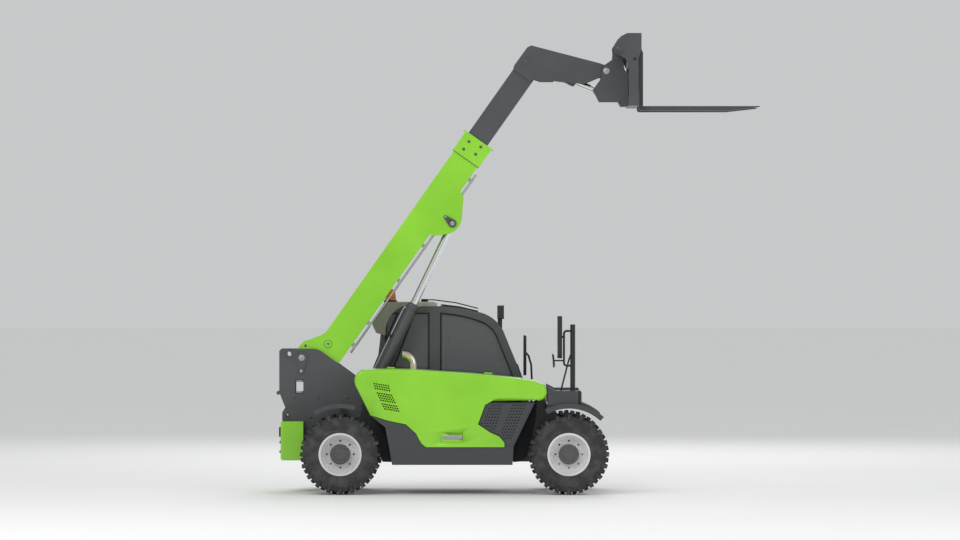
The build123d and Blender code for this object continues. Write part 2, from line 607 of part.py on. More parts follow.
# ---- door: framed panel in the left side, hung on its rear edge ---------------------------------
with BuildPart() as door_frame:
    with BuildSketch(side(CAB_OUTER_Y)):
        make_face(door_opening.edges())
        offset(amount=-SEAM, mode=Mode.REPLACE)
        offset(amount=-60, mode=Mode.SUBTRACT)
    extrude(amount=CAB_WALL)
    with BuildSketch(side(CAB_OUTER_Y)):      # waist rail of the door
        with Locations((1450, 860)):
            Rectangle(2 * 340, 70)
    extrude(amount=CAB_WALL)
    for height in hinge_heights:
        with BuildSketch(plan(height)):
            with Locations((HINGE_X, HINGE_Y)):
                Circle(HINGE_R)
            with Locations((HINGE_X + 18, HINGE_Y - 5)):
                Rectangle(36, 10)
        extrude(amount=40)
save(door_frame.part, "door_frame")
with BuildPart() as door_glass:
    with BuildSketch(side(PANE_Y[1] + GLASS / 2)):
        make_face(door_opening.edges())
        offset(amount=-SEAM - 60, mode=Mode.REPLACE)
        with Locations((1450, 860)):
            Rectangle(900, 70, mode=Mode.SUBTRACT)
    extrude(amount=GLASS)
save(door_glass.part, "door_glass")

# ---- left skirt below the cab, with two entry steps ---------------------------------------------
STEP_DEPTH = 170.0
with BuildPart() as step_skirt:
    with BuildSketch(side(CAB_OUTER_Y)):
        with BuildLine():
            Polyline((540, BELLY_Z), (1793, BELLY_Z), (1803, CAB_FLOOR_Z), (514, CAB_FLOOR_Z), close=True)
        make_face()
        with Locations((1400, 395)):
            Rectangle(300, 110, mode=Mode.SUBTRACT)
    extrude(amount=POD_SHEET)
    with BuildSketch(side(CAB_OUTER_Y)):                  # tread of the step, inside the recess
        with Locations((1400, 334)):
            Rectangle(300, POD_SHEET)
        with Locations((1400, 456)):
            Rectangle(300, POD_SHEET)
    extrude(amount=STEP_DEPTH)
save(step_skirt.part, "step_skirt")

# ---- front guards: beam across the nose, mudguards and lamp boxes -------------------------------
GUARD_SHEET = 14.0
FRONT_GUARD_R = 526.0
REAR_GUARD_R = 522.0
GUARD_INNER_Y = 600.0
GUARD_OUTER_Y = 895.0


def arc_points(station, radius, start, end):
    """Start, middle and end of an arc about a wheel's axis; angles from straight ahead, upwards."""
    turns = (radians(start), radians((start + end) / 2), radians(end))
    return [(station + radius * cos(turn), WHEEL_Z + radius * sin(turn)) for turn in turns]


def guard_line(station, radius, start, end, depth):
    """Closed curved strip of a mudguard, its thickness measured inwards from the radius."""
    with BuildLine() as strip:
        outer = arc_points(station, radius, start, end)
        inner = arc_points(station, radius - depth, start, end)
        ThreePointArc(*outer)
        ThreePointArc(*inner)
        Line(outer[0], inner[0])
        Line(outer[2], inner[2])
    return strip.edges()


with BuildPart() as front_guards:
    with BuildSketch(side(840.0)):
        with Locations((2195, 905)):
            Rectangle(90, 70)
    extrude(amount=1680)
    for hand in (-1, 1):
        with BuildSketch(side(GUARD_OUTER_Y if hand > 0 else -GUARD_INNER_Y)):
            make_face(guard_line(WHEELBASE, FRONT_GUARD_R, 47, 118, GUARD_SHEET))
        extrude(amount=GUARD_OUTER_Y - GUARD_INNER_Y)
        with BuildSketch(side(GUARD_OUTER_Y if hand > 0 else -GUARD_OUTER_Y + 12)):
            make_face(guard_line(WHEELBASE, FRONT_GUARD_R, 47, 118, 48))
        extrude(amount=12)
        with BuildSketch(side(860 if hand > 0 else -600)):      # lamp box
            with BuildLine():
                Polyline((2215, 930), (2479, 930), (2479, 1082), (2245, 1082), (2162, 1125),
                         (2162, 930), close=True)
            make_face()
        extrude(amount=260)
save(front_guards.part, "front_guards")

with BuildPart() as rear_guards:
    for hand in (-1, 1):
        with BuildSketch(side(GUARD_OUTER_Y if hand > 0 else -GUARD_INNER_Y)):
            make_face(guard_line(0, REAR_GUARD_R, 72, 122, 12))
        extrude(amount=GUARD_OUTER_Y - GUARD_INNER_Y)
        with BuildSketch(side(GUARD_OUTER_Y if hand > 0 else -GUARD_OUTER_Y + 12)):
            make_face(guard_line(0, REAR_GUARD_R, 72, 122, 40))
        extrude(amount=12)
        start = BOOM_Y + hand * RAIL_OUT
        with BuildSketch(side(max(start, hand * 860.0))):
            with Locations((-10, 915)):
                Rectangle(60, 30)
        extrude(amount=abs(hand * 860.0 - start))
save(rear_guards.part, "rear_guards")

# ---- lamps: headlamp lens in each lamp box, work lamps on the roof and the windscreen frame -----
with BuildPart() as headlamps:
    for hand in (-1, 1):
        with BuildSketch(Plane(origin=(REAR_AXLE_X + 2479, hand * 730.0, 1010), x_dir=(0, 1, 0),
                               z_dir=(1, 0, 0))):
            RectangleRounded(200, 120, 20)
        extrude(amount=40, taper=8)
save(headlamps.part, "headlamps")

with BuildPart() as mast:
    with BuildSketch(Plane(origin=(REAR_AXLE_X + 2421, -760, 1082))):
        Circle(26)
    extrude(amount=690)
    for low, high in ((1704, 1342),):        # tube that carries the mirror, standing off to the rear
        with BuildLine(side(-760)) as loop_path:
            FilletPolyline((2421, low), (2330, low), (2330, high), (2421, high), radius=30)
        with BuildSketch(Plane(origin=loop_path.line @ 0, z_dir=loop_path.line % 0)):
            Circle(11)
        sweep(path=loop_path.line)
    with BuildSketch(Plane(origin=(REAR_AXLE_X + 2262, -760, 1640), x_dir=(0, 1, 0), z_dir=(1, 0, 0))):
        RectangleRounded(190, 440, 60)
    extrude(amount=48)
    with BuildSketch(side(-752)):
        with Locations((2316, 1640)):
            Rectangle(16, 24)
    extrude(amount=16)
save(mast.part, "mirror_mast")

# ---- inside the cab: seat, dashboard with steering wheel, armrest console ------------------------
CAB_MID_Y = (CAB_INNER_Y + CAB_OUTER_Y) / 2
CAB_DECK = CAB_FLOOR_Z + 20
with BuildPart() as seat_base:
    with BuildSketch(plan(CAB_DECK)):
        with Locations((800, CAB_MID_Y)):
            Rectangle(380, 360)
    extrude(amount=330)
save(seat_base.part, "seat_base")
with BuildPart() as seat:
    with BuildSketch(side(CAB_MID_Y + 240)):
        with BuildLine():
            Polyline((600, CAB_DECK + 330), (1060, CAB_DECK + 345), (1060, CAB_DECK + 455),
                     (720, CAB_DECK + 440), (620, CAB_DECK + 1050), (510, CAB_DECK + 1050), close=True)
        make_face()
    extrude(amount=480)
    fillet(seat.edges().filter_by(Axis.Y), 28)
save(seat.part, "seat")
with BuildPart() as console:
    with BuildSketch(side(CAB_MID_Y + 170)):
        with BuildLine():
            Polyline((1560, CAB_DECK), (1740, CAB_DECK), (1800, 900), (1800, 1150), (1700, 1240),
                     (1640, 1210), (1660, 900), close=True)
        make_face()
    extrude(amount=340)
    with BuildSketch(Plane(origin=(REAR_AXLE_X + 1640, CAB_MID_Y, 1190), x_dir=(0, 1, 0),
                           z_dir=(-0.5, 0, 0.866))):
        Circle(24)
    extrude(amount=105)
    with BuildSketch(Plane(origin=(REAR_AXLE_X + 1590, CAB_MID_Y, 1277), x_dir=(0, 1, 0),
                           z_dir=(-0.5, 0, 0.866))):
        Circle(185)
        Circle(160, mode=Mode.SUBTRACT)
        Rectangle(350, 34)
        Rectangle(34, 350)
    extrude(amount=24)
save(console.part, "console")

# ---- beacon on the roof and work lamps at its front corner ---------------------------------------
with BuildPart() as beacon:
    with BuildSketch(Plane(origin=(REAR_AXLE_X + 505, 300, ROOF_Z + ROOF_THICKNESS))):
        Circle(62)
    extrude(amount=140, taper=6)
    fillet(beacon.faces().sort_by(Axis.Z)[-1].edges(), 22)
save(beacon.part, "beacon")
with BuildPart() as work_lamps:
    for lamp_y in (CAB_INNER_Y + 70, CAB_OUTER_Y - 70):
        with BuildSketch(Plane(origin=(REAR_AXLE_X + 1640, lamp_y, 1890), x_dir=(0, 1, 0),
                               z_dir=(1, 0, 0))):
            RectangleRounded(90, 140, 12)
        extrude(amount=64)
        with BuildSketch(side(lamp_y + 10)):
            with BuildLine():
                Polyline((1644, 1825), (1690, 1825), (1690, 1716), (1644, 1775), close=True)
            make_face()
        extrude(amount=20)
    with BuildSketch(side(CAB_OUTER_Y)):
        make_face(cab_outline.edges())
    extrude(amount=CAB_OUTER_Y - CAB_INNER_Y, mode=Mode.SUBTRACT)
save(work_lamps.part, "work_lamps")

# ---- outer boom section: foot plates, box section, collar and lift bracket ------------------------
BOOM_HALF = BOOM_WIDTH / 2
COLLAR_START, COLLAR_MARGIN = 2705.0, 15.0
BRACKET_PLATE = 18.0
BRACKET_INNER = BOOM_HALF - BRACKET_PLATE
PIN_BOSS = 30.0             # how far each pin boss stands in from its bracket plate
with BuildPart() as boom_outer:
    with BuildSketch(boom_side(BOOM_Y + BOOM_HALF)):
        with BuildLine():
            Polyline((379, BOOM_TOP), (318, -30), (213, 38), (153, 86), (60, 90))
            ThreePointArc((60, 90), (-85, 42), (-70, -64))
            Polyline((-70, -64), (190, BOOM_BOTTOM), (BOOM_LENGTH, BOOM_BOTTOM), (BOOM_LENGTH, BOOM_TOP),
                     (379, BOOM_TOP))
        make_face()
    extrude(amount=BOOM_WIDTH)
    with BuildSketch(boom_side(BOOM_Y + BOOM_HALF + COLLAR_MARGIN)):      # collar round the tip
        with Locations(((COLLAR_START + BOOM_LENGTH) / 2, (BOOM_TOP + BOOM_BOTTOM) / 2)):
            Rectangle(BOOM_LENGTH - COLLAR_START, BOOM_TOP - BOOM_BOTTOM + 2 * COLLAR_MARGIN)
    extrude(amount=BOOM_WIDTH + 2 * COLLAR_MARGIN)
    with BuildSketch(boom_side(BOOM_Y + BOOM_HALF + COLLAR_MARGIN)):      # flange on the tip
        with Locations((BOOM_LENGTH - 6.5, (BOOM_TOP + BOOM_BOTTOM) / 2)):
            Rectangle(13, BOOM_TOP - BOOM_BOTTOM + 74)
    extrude(amount=BOOM_WIDTH + 2 * COLLAR_MARGIN)
    with BuildSketch(boom_side(BOOM_Y + BOOM_HALF - BOOM_WALL)):          # hollow of the box section
        with Locations(((320 + BOOM_LENGTH) / 2, (BOOM_TOP + BOOM_BOTTOM) / 2)):
            Rectangle(BOOM_LENGTH - 320, BOOM_TOP - BOOM_BOTTOM - 2 * BOOM_WALL)
    extrude(amount=BOOM_WIDTH - 2 * BOOM_WALL, mode=Mode.SUBTRACT)
    with BuildSketch(boom_side(BOOM_Y + BOOM_HALF)):
        Circle(FOOT_PIN_R + PIN_CLEARANCE)
    extrude(amount=BOOM_WIDTH, mode=Mode.SUBTRACT)
    for hand in (-1, 1):    # bracket plates either side of the lift cylinder's rod eye
        with BuildSketch(boom_side(BOOM_Y + hand * (BOOM_HALF - BRACKET_PLATE / 2) + BRACKET_PLATE / 2)):
            with BuildLine():
                Polyline((1838, BOOM_BOTTOM), (1838, -380), (1959, -514))
                ThreePointArc((1959, -514), (2070, -552), (2202, -511))
                Polyline((2202, -511), (2375, -408), (2386, -368), (2400, BOOM_BOTTOM),
                         (1838, BOOM_BOTTOM))
            make_face()
        extrude(amount=BRACKET_PLATE)
        with BuildSketch(boom_side(BOOM_Y + hand * (BOOM_HALF + 5) + 5)):      # cap of the eye's pin
            with Locations((LIFT_EYE_S, LIFT_EYE_T)):
                Circle(44)
        extrude(amount=10)
        boss_y = BOOM_Y + hand * (BRACKET_INNER - PIN_BOSS / 2) + PIN_BOSS / 2
        with BuildSketch(boom_side(boss_y)):
            with Locations((LIFT_EYE_S, LIFT_EYE_T)):
                Circle(40)
        extrude(amount=PIN_BOSS)
        with BuildSketch(boom_side(BOOM_Y + hand * (BOOM_HALF + 4) + 4)):      # boss on the foot
            with Locations((280, -141)):
                Circle(48)
        extrude(amount=8)
save(boom_outer.part, "boom_outer")

# ---- hydraulic pipes under the boom, outside the lift cylinder's width ---------------------------
PIPE_R = 11.0
PIPE_T = BOOM_BOTTOM - 36
PIPE_Y = 81.0
with BuildPart() as boom_pipes:
    for hand in (-1, 1):
        with BuildSketch(Plane(boom_side(BOOM_Y + hand * PIPE_Y).from_local_coords((338, PIPE_T, 0)),
                               x_dir=(0, 1, 0), z_dir=(BOOM_COS, 0, BOOM_SIN))):
            Circle(PIPE_R)
        extrude(amount=2632 - 338)
        for place in (420, 700, 1250, 1700, 2550):
            with BuildSketch(boom_side(BOOM_Y + hand * PIPE_Y + 13)):
                with Locations((place, (BOOM_BOTTOM + PIPE_T - 14) / 2)):
                    Rectangle(40, BOOM_BOTTOM - PIPE_T + 14)
            extrude(amount=26)
save(boom_pipes.part, "boom_pipes")

# ---- inner boom section with the bent head that carries the hitch --------------------------------
INNER_HALF = INNER_WIDTH / 2
HEAD_INNER = INNER_HALF
with BuildPart() as boom_inner:
    with BuildSketch(boom_side(BOOM_Y + INNER_HALF)):
        with Locations(((INNER_START + HEAD_START + 60) / 2, (INNER_TOP + INNER_BOTTOM) / 2)):
            Rectangle(HEAD_START + 60 - INNER_START, INNER_TOP - INNER_BOTTOM)
    extrude(amount=INNER_WIDTH)
    with BuildSketch(boom_side(BOOM_Y + INNER_HALF - INNER_WALL)):
        with Locations(((INNER_START + HEAD_START + 60) / 2, (INNER_TOP + INNER_BOTTOM) / 2)):
            Rectangle(HEAD_START + 60 - INNER_START, INNER_TOP - INNER_BOTTOM - 2 * INNER_WALL)
    extrude(amount=INNER_WIDTH - 2 * INNER_WALL, mode=Mode.SUBTRACT)
    for hand in (-1, 1):
        with BuildSketch(boom_side(BOOM_Y + hand * (HEAD_INNER + HEAD_PLATE / 2) + HEAD_PLATE / 2)):
            with BuildLine():
                Polyline((HEAD_START, INNER_TOP), (3804, -52), (4038, -55), (4080, -77), (4345, -782),
                         (4356, -826))
                ThreePointArc((4356, -826), (4350, -915), (4270, -912))
                Polyline((4270, -912), (4207, -850), (4060, -760), (3918, -489), (3903, -486),
                         (3824, -374), (3805, -310), (HEAD_START, -280), (HEAD_START, INNER_TOP))
            make_face()
        extrude(amount=HEAD_PLATE)
    with BuildSketch(boom_side(BOOM_Y + HEAD_INNER)):      # plate closing the top of the head
        with BuildLine():
            Polyline((3800, -52), (4038, -55), (4080, -77), (4345, -782), (4326, -782), (4064, -92),
                     (4032, -70), (3800, -67), close=True)
        make_face()
    extrude(amount=2 * HEAD_INNER)
    with BuildSketch(boom_side(BOOM_Y + HEAD_INNER)):      # pin of the tilt cylinder's base eye
        with Locations((TILT_BASE_S, TILT_BASE_T)):
            Circle(TILT_PIN_R)
    extrude(amount=2 * HEAD_INNER)
    with BuildSketch(boom_side(BOOM_Y + HEAD_INNER + HEAD_PLATE + 30)):      # hitch pin
        with Locations((HITCH_S, HITCH_T)):
            Circle(HITCH_PIN_R)
    extrude(amount=2 * (HEAD_INNER + HEAD_PLATE + 30))
save(boom_inner.part, "boom_inner")

# ---- lift cylinder: barrel on the chassis pin, rod with its eye in the boom's bracket ------------
lift_base = (LIFT_BASE_X, LIFT_BASE_Z)
lift_eye = on_boom(LIFT_EYE_S, LIFT_EYE_T)
tilt_base = on_boom(TILT_BASE_S, TILT_BASE_T)
tilt_eye = on_boom(TILT_EYE_S, TILT_EYE_T)


def build_barrel(base, eye, barrel_r, length, rod_r, eye_r, eye_width, pin_r):
    """Cylinder barrel with a base eye, open at the rod's end."""
    with BuildPart() as barrel:
        with BuildSketch(rod_plane(base, eye, 1.6 * eye_r)):
            Circle(barrel_r)
        extrude(amount=length - 1.6 * eye_r)
        with BuildSketch(link_plane(base, eye, BOOM_Y + eye_width / 2)):
            Circle(eye_r)
            with Locations((0.8 * eye_r, 0)):
                Rectangle(1.6 * eye_r, 1.5 * eye_r)
        extrude(amount=eye_width)
        with BuildSketch(rod_plane(base, eye, 1.6 * eye_r)):
            Circle(rod_r + PIN_CLEARANCE)
        extrude(amount=length, mode=Mode.SUBTRACT)
        with BuildSketch(link_plane(base, eye, BOOM_Y + eye_width / 2)):
            Circle(pin_r + PIN_CLEARANCE)
        extrude(amount=eye_width, mode=Mode.SUBTRACT)
    return barrel.part


def build_rod(base, eye, rod_r, length, eye_r, eye_width, pin_r, pin_width):
    """Piston rod with an eye and the pin that rides in it."""
    with BuildPart() as rod:
        with BuildSketch(rod_plane(eye, base, 0)):
            Circle(rod_r)
        extrude(amount=length)
        with BuildSketch(link_plane(eye, base, BOOM_Y + eye_width / 2)):
            Circle(eye_r)
        extrude(amount=eye_width)
        with BuildSketch(link_plane(eye, base, BOOM_Y + pin_width / 2)):
            Circle(pin_r)
        extrude(amount=pin_width)
    return rod.part


save(build_barrel(lift_base, lift_eye, LIFT_BARREL_R, LIFT_BARREL_LENGTH, LIFT_ROD_R, LIFT_EYE_R,
                  LIFT_EYE_WIDTH, LIFT_PIN_R), "lift_barrel")
save(build_rod(lift_base, lift_eye, LIFT_ROD_R, LIFT_ROD_LENGTH, LIFT_EYE_R, LIFT_EYE_WIDTH,
               LIFT_PIN_R, 2 * (BRACKET_INNER - PIN_BOSS - SIDE_GAP)), "lift_rod")
save(build_barrel(tilt_base, tilt_eye, TILT_BARREL_R, TILT_BARREL_LENGTH, TILT_ROD_R, TILT_EYE_R,
                  TILT_EYE_WIDTH, TILT_PIN_R), "tilt_barrel")
save(build_rod(tilt_base, tilt_eye, TILT_ROD_R, TILT_ROD_LENGTH, TILT_EYE_R, TILT_EYE_WIDTH,
               TILT_PIN_R, TILT_EYE_WIDTH + 2 * SIDE_GAP), "tilt_rod")

# ---- hitch: side plates outside the boom head, cross plate and lugs for the tilt cylinder --------
HITCH_PLATE = 20.0
SHAFT_X, SHAFT_Z = HITCH_X + 130, HITCH_Z + 215
HITCH_INNER = HEAD_INNER + HEAD_PLATE + 7
hitch_outline = (           # relative to the hitch pin: forwards, upwards
    (-40, 40), (-20, 63), (64, 121), (74, 259), (148, 311), (190, 16), (227, -37), (227, -375),
    (190, -375), (148, -322), (-74, -322), (-116, -238), (-148, -206), (-64, -90),
)
with BuildPart() as hitch:
    for hand in (-1, 1):
        with BuildSketch(side(BOOM_Y + hand * (HITCH_INNER + HITCH_PLATE / 2) + HITCH_PLATE / 2)):
            with BuildLine():
                Polyline(*((HITCH_X + x, HITCH_Z + z) for x, z in hitch_outline), close=True)
            make_face()
            with Locations((HITCH_X, HITCH_Z)):
                Circle(HITCH_PIN_R + PIN_CLEARANCE, mode=Mode.SUBTRACT)
            with Locations((SHAFT_X, SHAFT_Z)):
                Circle(FORK_SHAFT_R, mode=Mode.SUBTRACT)
        extrude(amount=HITCH_PLATE)
        tilt_lug_y = BOOM_Y + hand * (TILT_EYE_WIDTH / 2 + 18)
        with BuildSketch(side(tilt_lug_y + 8)):
            with Locations((tilt_eye[0], tilt_eye[1])):
                Circle(48)
            with BuildLine():
                Polyline((tilt_eye[0], tilt_eye[1] - 48), (HITCH_X + 150, HITCH_Z - 315),
                         (HITCH_X + 150, HITCH_Z - 150), (tilt_eye[0], tilt_eye[1] + 48), close=True)
            make_face()
        extrude(amount=16)
    with BuildSketch(side(BOOM_Y + HITCH_INNER)):
        with BuildLine():
            Polyline((HITCH_X + 207, HITCH_Z - 37), (HITCH_X + 227, HITCH_Z - 37),
                     (HITCH_X + 227, HITCH_Z - 375), (HITCH_X + 148, HITCH_Z - 375),
                     (HITCH_X + 120, HITCH_Z - 322), (HITCH_X + 120, HITCH_Z - 150), close=True)
        make_face()
    extrude(amount=2 * HITCH_INNER)
save(hitch.part, "hitch")

# ---- fork carriage: end plates, back bars and the shaft that the forks hang on -------------------
HALF_CARRIAGE = CARRIAGE_WIDTH / 2
CARRIAGE_PLATE = 20.0
CARRIAGE_BACK = 227.0       # from the hitch pin forward to the back of the carriage
SHANK_BACK = SHANK_FACE - FORK_THICKNESS
end_outline = (
    (CARRIAGE_BACK, -375), (SHANK_BACK, -375), (SHANK_BACK, -240), (326, -200), (326, 120),
    (SHANK_FACE - 20, 206), (SHANK_FACE - 20, 385), (211, 385), (148, 354), (105, 311), (74, 259),
    (80, 180), (190, 120), (CARRIAGE_BACK, 40),
)
with BuildPart() as carriage:
    for hand in (-1, 1):
        with BuildSketch(side(hand * (HALF_CARRIAGE - CARRIAGE_PLATE / 2) + CARRIAGE_PLATE / 2)):
            with BuildLine():
                Polyline(*((HITCH_X + x, HITCH_Z + z) for x, z in end_outline), close=True)
            make_face()
            with Locations((HITCH_X + 290, HITCH_Z + 116)):
                Circle(20, mode=Mode.SUBTRACT)
        extrude(amount=CARRIAGE_PLATE)
    bars = (                # from x, to x, from z, to z: relative to the hitch pin
        (CARRIAGE_BACK, SHANK_BACK - 2, -375, -275),
        (CARRIAGE_BACK, 262, 40, 120),
    )
    for start, end, low, high in bars:
        with BuildSketch(side(HALF_CARRIAGE - CARRIAGE_PLATE)):
            with Locations((HITCH_X + (start + end) / 2, HITCH_Z + (low + high) / 2)):
                Rectangle(end - start, high - low)
        extrude(amount=CARRIAGE_WIDTH - 2 * CARRIAGE_PLATE)
    with BuildSketch(side(HALF_CARRIAGE - 2)):
        with Locations((SHAFT_X, SHAFT_Z)):
            Circle(FORK_SHAFT_R)
    extrude(amount=CARRIAGE_WIDTH - 4)
save(carriage.part, "fork_carriage")

# ---- forks: tapered blade, shank and the eye that rides on the shaft ------------------------------
BLADE_TOP = HITCH_Z - BLADE_DROP
BLADE_UNDER = BLADE_TOP - FORK_THICKNESS
SHANK_X = HITCH_X + SHANK_FACE
with BuildPart() as forks:
    for hand in (-1, 1):
        with BuildSketch(side(hand * FORK_SPACING / 2 + FORK_WIDTH / 2)):
            with BuildLine():
                Polyline((SHANK_X, BLADE_TOP), (FORK_TIP, BLADE_TOP), (FORK_TIP, BLADE_TOP - 8),
                         (SHANK_X + 900, BLADE_UNDER), (SHANK_X - 20, BLADE_UNDER))
                ThreePointArc((SHANK_X - 20, BLADE_UNDER), (SHANK_X - 38, BLADE_UNDER + 8),
                              (SHANK_X - FORK_THICKNESS, BLADE_UNDER + 26))
                Polyline((SHANK_X - FORK_THICKNESS, BLADE_UNDER + 26),
                         (SHANK_X - FORK_THICKNESS, SHAFT_Z - 70), (SHAFT_X + 20, SHAFT_Z - 52),
                         (SHAFT_X - 40, SHAFT_Z - 35), (SHAFT_X - 40, SHAFT_Z + 35),
                         (SHAFT_X + 20, SHAFT_Z + 52), (SHANK_X - 30, SHAFT_Z + 40),
                         (SHANK_X, SHAFT_Z - 30), (SHANK_X, BLADE_TOP))
            make_face()
            with Locations((SHAFT_X, SHAFT_Z)):
                Circle(FORK_SHAFT_R + PIN_CLEARANCE, mode=Mode.SUBTRACT)
        extrude(amount=FORK_WIDTH)
save(forks.part, "forks")
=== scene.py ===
# %% [markdown]
# # Dressing a telehandler
# The machine arrives as a fixed frame of plain solids, each in its real place and size in metres. This lesson
# adds what they leave out: finishes, the tyres' rubber, the seat's cloth, bolts, pipes, lenses and seals.
# Nothing here changes the machine's size.

# %% Load the frame
import json
from math import cos, pi, radians, sin

import bmesh
import bpy
from mathutils import Euler, Matrix, Vector


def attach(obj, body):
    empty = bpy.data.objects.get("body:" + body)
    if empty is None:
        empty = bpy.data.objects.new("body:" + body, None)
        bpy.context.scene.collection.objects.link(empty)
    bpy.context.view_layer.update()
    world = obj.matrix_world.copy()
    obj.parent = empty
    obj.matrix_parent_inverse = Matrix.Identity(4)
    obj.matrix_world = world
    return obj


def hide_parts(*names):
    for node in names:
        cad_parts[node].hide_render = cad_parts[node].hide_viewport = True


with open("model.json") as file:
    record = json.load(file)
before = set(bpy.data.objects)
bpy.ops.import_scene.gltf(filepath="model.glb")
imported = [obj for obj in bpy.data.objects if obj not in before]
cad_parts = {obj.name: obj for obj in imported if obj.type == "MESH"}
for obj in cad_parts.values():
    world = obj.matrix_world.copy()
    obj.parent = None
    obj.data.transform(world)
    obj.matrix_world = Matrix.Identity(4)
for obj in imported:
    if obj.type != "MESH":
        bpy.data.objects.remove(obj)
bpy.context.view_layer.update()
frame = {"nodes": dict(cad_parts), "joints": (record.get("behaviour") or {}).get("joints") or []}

# %% [markdown]
# ## Where things are
# A joint knows its pivot and its axis, so wheels and pins are found by asking the joints. The boom leans, so
# its pieces are easier to place in its own two directions: along it from the foot pin, and square to it.

# %% Pivots, wheel centres and the boom's own directions
joints = {joint["name"]: joint for joint in frame["joints"]}
corners = ("front_right", "front_left", "rear_right", "rear_left")
wheel_centres = {corner: Vector(joints["spin_" + corner]["pos_m"]) for corner in corners}
foot_pin = Vector(joints["boom_lift"]["pos_m"])
hitch_pin = Vector(joints["carriage_tilt"]["pos_m"])
along_boom = Vector(joints["boom_extend"]["axis"]).normalized()
up_boom = Vector((-along_boom.z, 0, along_boom.x))
rear_axle_x = wheel_centres["rear_right"].x
boom_y = foot_pin.y


def as_object(name, data):
    """Puts a mesh, lamp or lens in the scene as an object."""
    thing = bpy.data.objects.new(name, data)
    bpy.context.scene.collection.objects.link(thing)
    return thing


def on_boom(along, above, y=0.0):
    """A point on the resting boom, from its foot pin; y is measured from the boom's middle plane."""
    return foot_pin + along_boom * along + up_boom * above + Vector((0, y, 0))


print("wheelbase", round(wheel_centres["front_right"].x - rear_axle_x, 3), "boom leans", along_boom)

# %% [markdown]
# ## Camera
# A long lens a long way off flattens a machine, which is how a catalogue shows its side. At 200 mm and 56 m
# the near and far wheels differ in size by about three parts in a hundred.

# %% A long lens square to the right side
SENSOR, LENS, FRAME_WIDTH = 36.0, 200.0, 10.14      # mm, mm and metres across the picture
lens = bpy.data.cameras.new("side_camera")
lens.lens = LENS
lens.sensor_width = SENSOR
lens.clip_end = 400
camera = as_object("side_camera", lens)
camera.location = (-0.397, -FRAME_WIDTH * LENS / SENSOR, 2.339)
camera.rotation_euler = Euler((radians(90), 0, 0))
bpy.context.scene.camera = camera
bpy.context.scene.view_settings.view_transform = "Standard"
print("camera at", [round(v, 2) for v in camera.location])

# %% [markdown]
# ## Nodes for finishes
# Every finish is a small network around one Principled shader. The helpers keep the cells short: one turns
# painters' hex colours into the shader's linear values, one adds a node with its settings and links, and
# the rest are the moves that nearly every finish makes.

# %% Helpers for colours and nodes


def linear(hex_colour):
    """A four-part linear colour from an sRGB hex string."""
    parts = [int(hex_colour[i:i + 2], 16) / 255 for i in (1, 3, 5)]
    return [p / 12.92 if p <= 0.04045 else ((p + 0.055) / 1.055) ** 2.4 for p in parts] + [1.0]


def add_node(near, kind, options=None, inputs=None):
    """Adds one node beside another; an input is a plain value, or another node's output to link."""
    tree = near.id_data
    node = tree.nodes.new("ShaderNode" + kind)
    for name, value in (options or {}).items():
        setattr(node, name, value)
    for name, value in (inputs or {}).items():
        if isinstance(value, bpy.types.NodeSocket):
            tree.links.new(value, node.inputs[name])
        else:
            node.inputs[name].default_value = value
    return node


def start_finish(name, colour, **shader_values):
    """A material with one Principled shader, and the object's own coordinates in metres."""
    finish = bpy.data.materials.new(name)
    finish.use_nodes = True
    finish.diffuse_color = linear(colour)
    shader = finish.node_tree.nodes["Principled BSDF"]
    shader.inputs["Base Color"].default_value = linear(colour)
    for socket, value in shader_values.items():
        shader.inputs[socket.replace("_", " ")].default_value = value
    return finish, shader, add_node(shader, "TexCoord").outputs["Object"]


def feed(shader, socket, value):
    """Links an output to one of the shader's sockets."""
    shader.id_data.links.new(value, shader.inputs[socket])


def noise(place, scale, detail, **more):
    """Cloudy noise, as an output to link."""
    inputs = {"Vector": place, "Scale": scale, "Detail": detail, **more}
    return add_node(place, "TexNoise", inputs=inputs).outputs["Fac"]


def spread(value, low, high, start=0.0, end=1.0):
    """A value stretched from one range to another, as an output to link."""
    inputs = {"Value": value, "From Min": start, "From Max": end, "To Min": low, "To Max": high}
    return add_node(value, "MapRange", inputs=inputs).outputs["Result"]


def shade(value, first, last, start=0.0, end=1.0):
    """A shade between two hex colours, picked by a value, as an output to link."""
    ramp = add_node(value, "ValToRGB", inputs={"Fac": value})
    for element, colour, position in zip(ramp.color_ramp.elements, (first, last), (start, end)):
        element.position = position
        element.color = linear(colour)
    return ramp.outputs["Color"]


def raise_skin(shader, height, strength, distance, invert=False):
    """Bumps the surface by a value; the distance is in metres."""
    bump = add_node(shader, "Bump", {"invert": invert},
                    {"Height": height, "Strength": strength, "Distance": distance})
    feed(shader, "Normal", bump.outputs["Normal"])


print("helpers ready")

# %% [markdown]
# ## Paint on steel
# The green sheet metal and the dark frame carry the same two-pack enamel. Sprayed enamel dries with a faint
# orange peel a few millimetres across, and no two panels come out quite the same shade. A colour ramp between
# two near shades gives the second, a low noise bump the first, and a clear coat gives the deep highlight.
# The lowest half metre is mixed in speckles towards a tan grey and made rougher, most near the ground.

# %% Two-pack enamel, in any colour
PEEL_SIZE = 0.004            # metres across one dimple of orange peel
LOW_TINT_TOP, LOW_TINT_FULL = 0.62, 0.15    # metres above the ground where the tan-grey tint fades out and where it is strongest
MOST_LOW_TINT = 0.30             # the share of the tan-grey tint mixed into the paint there
LOW_TINT_COLOUR, LOW_ROUGHNESS = "#8A8375", 0.85


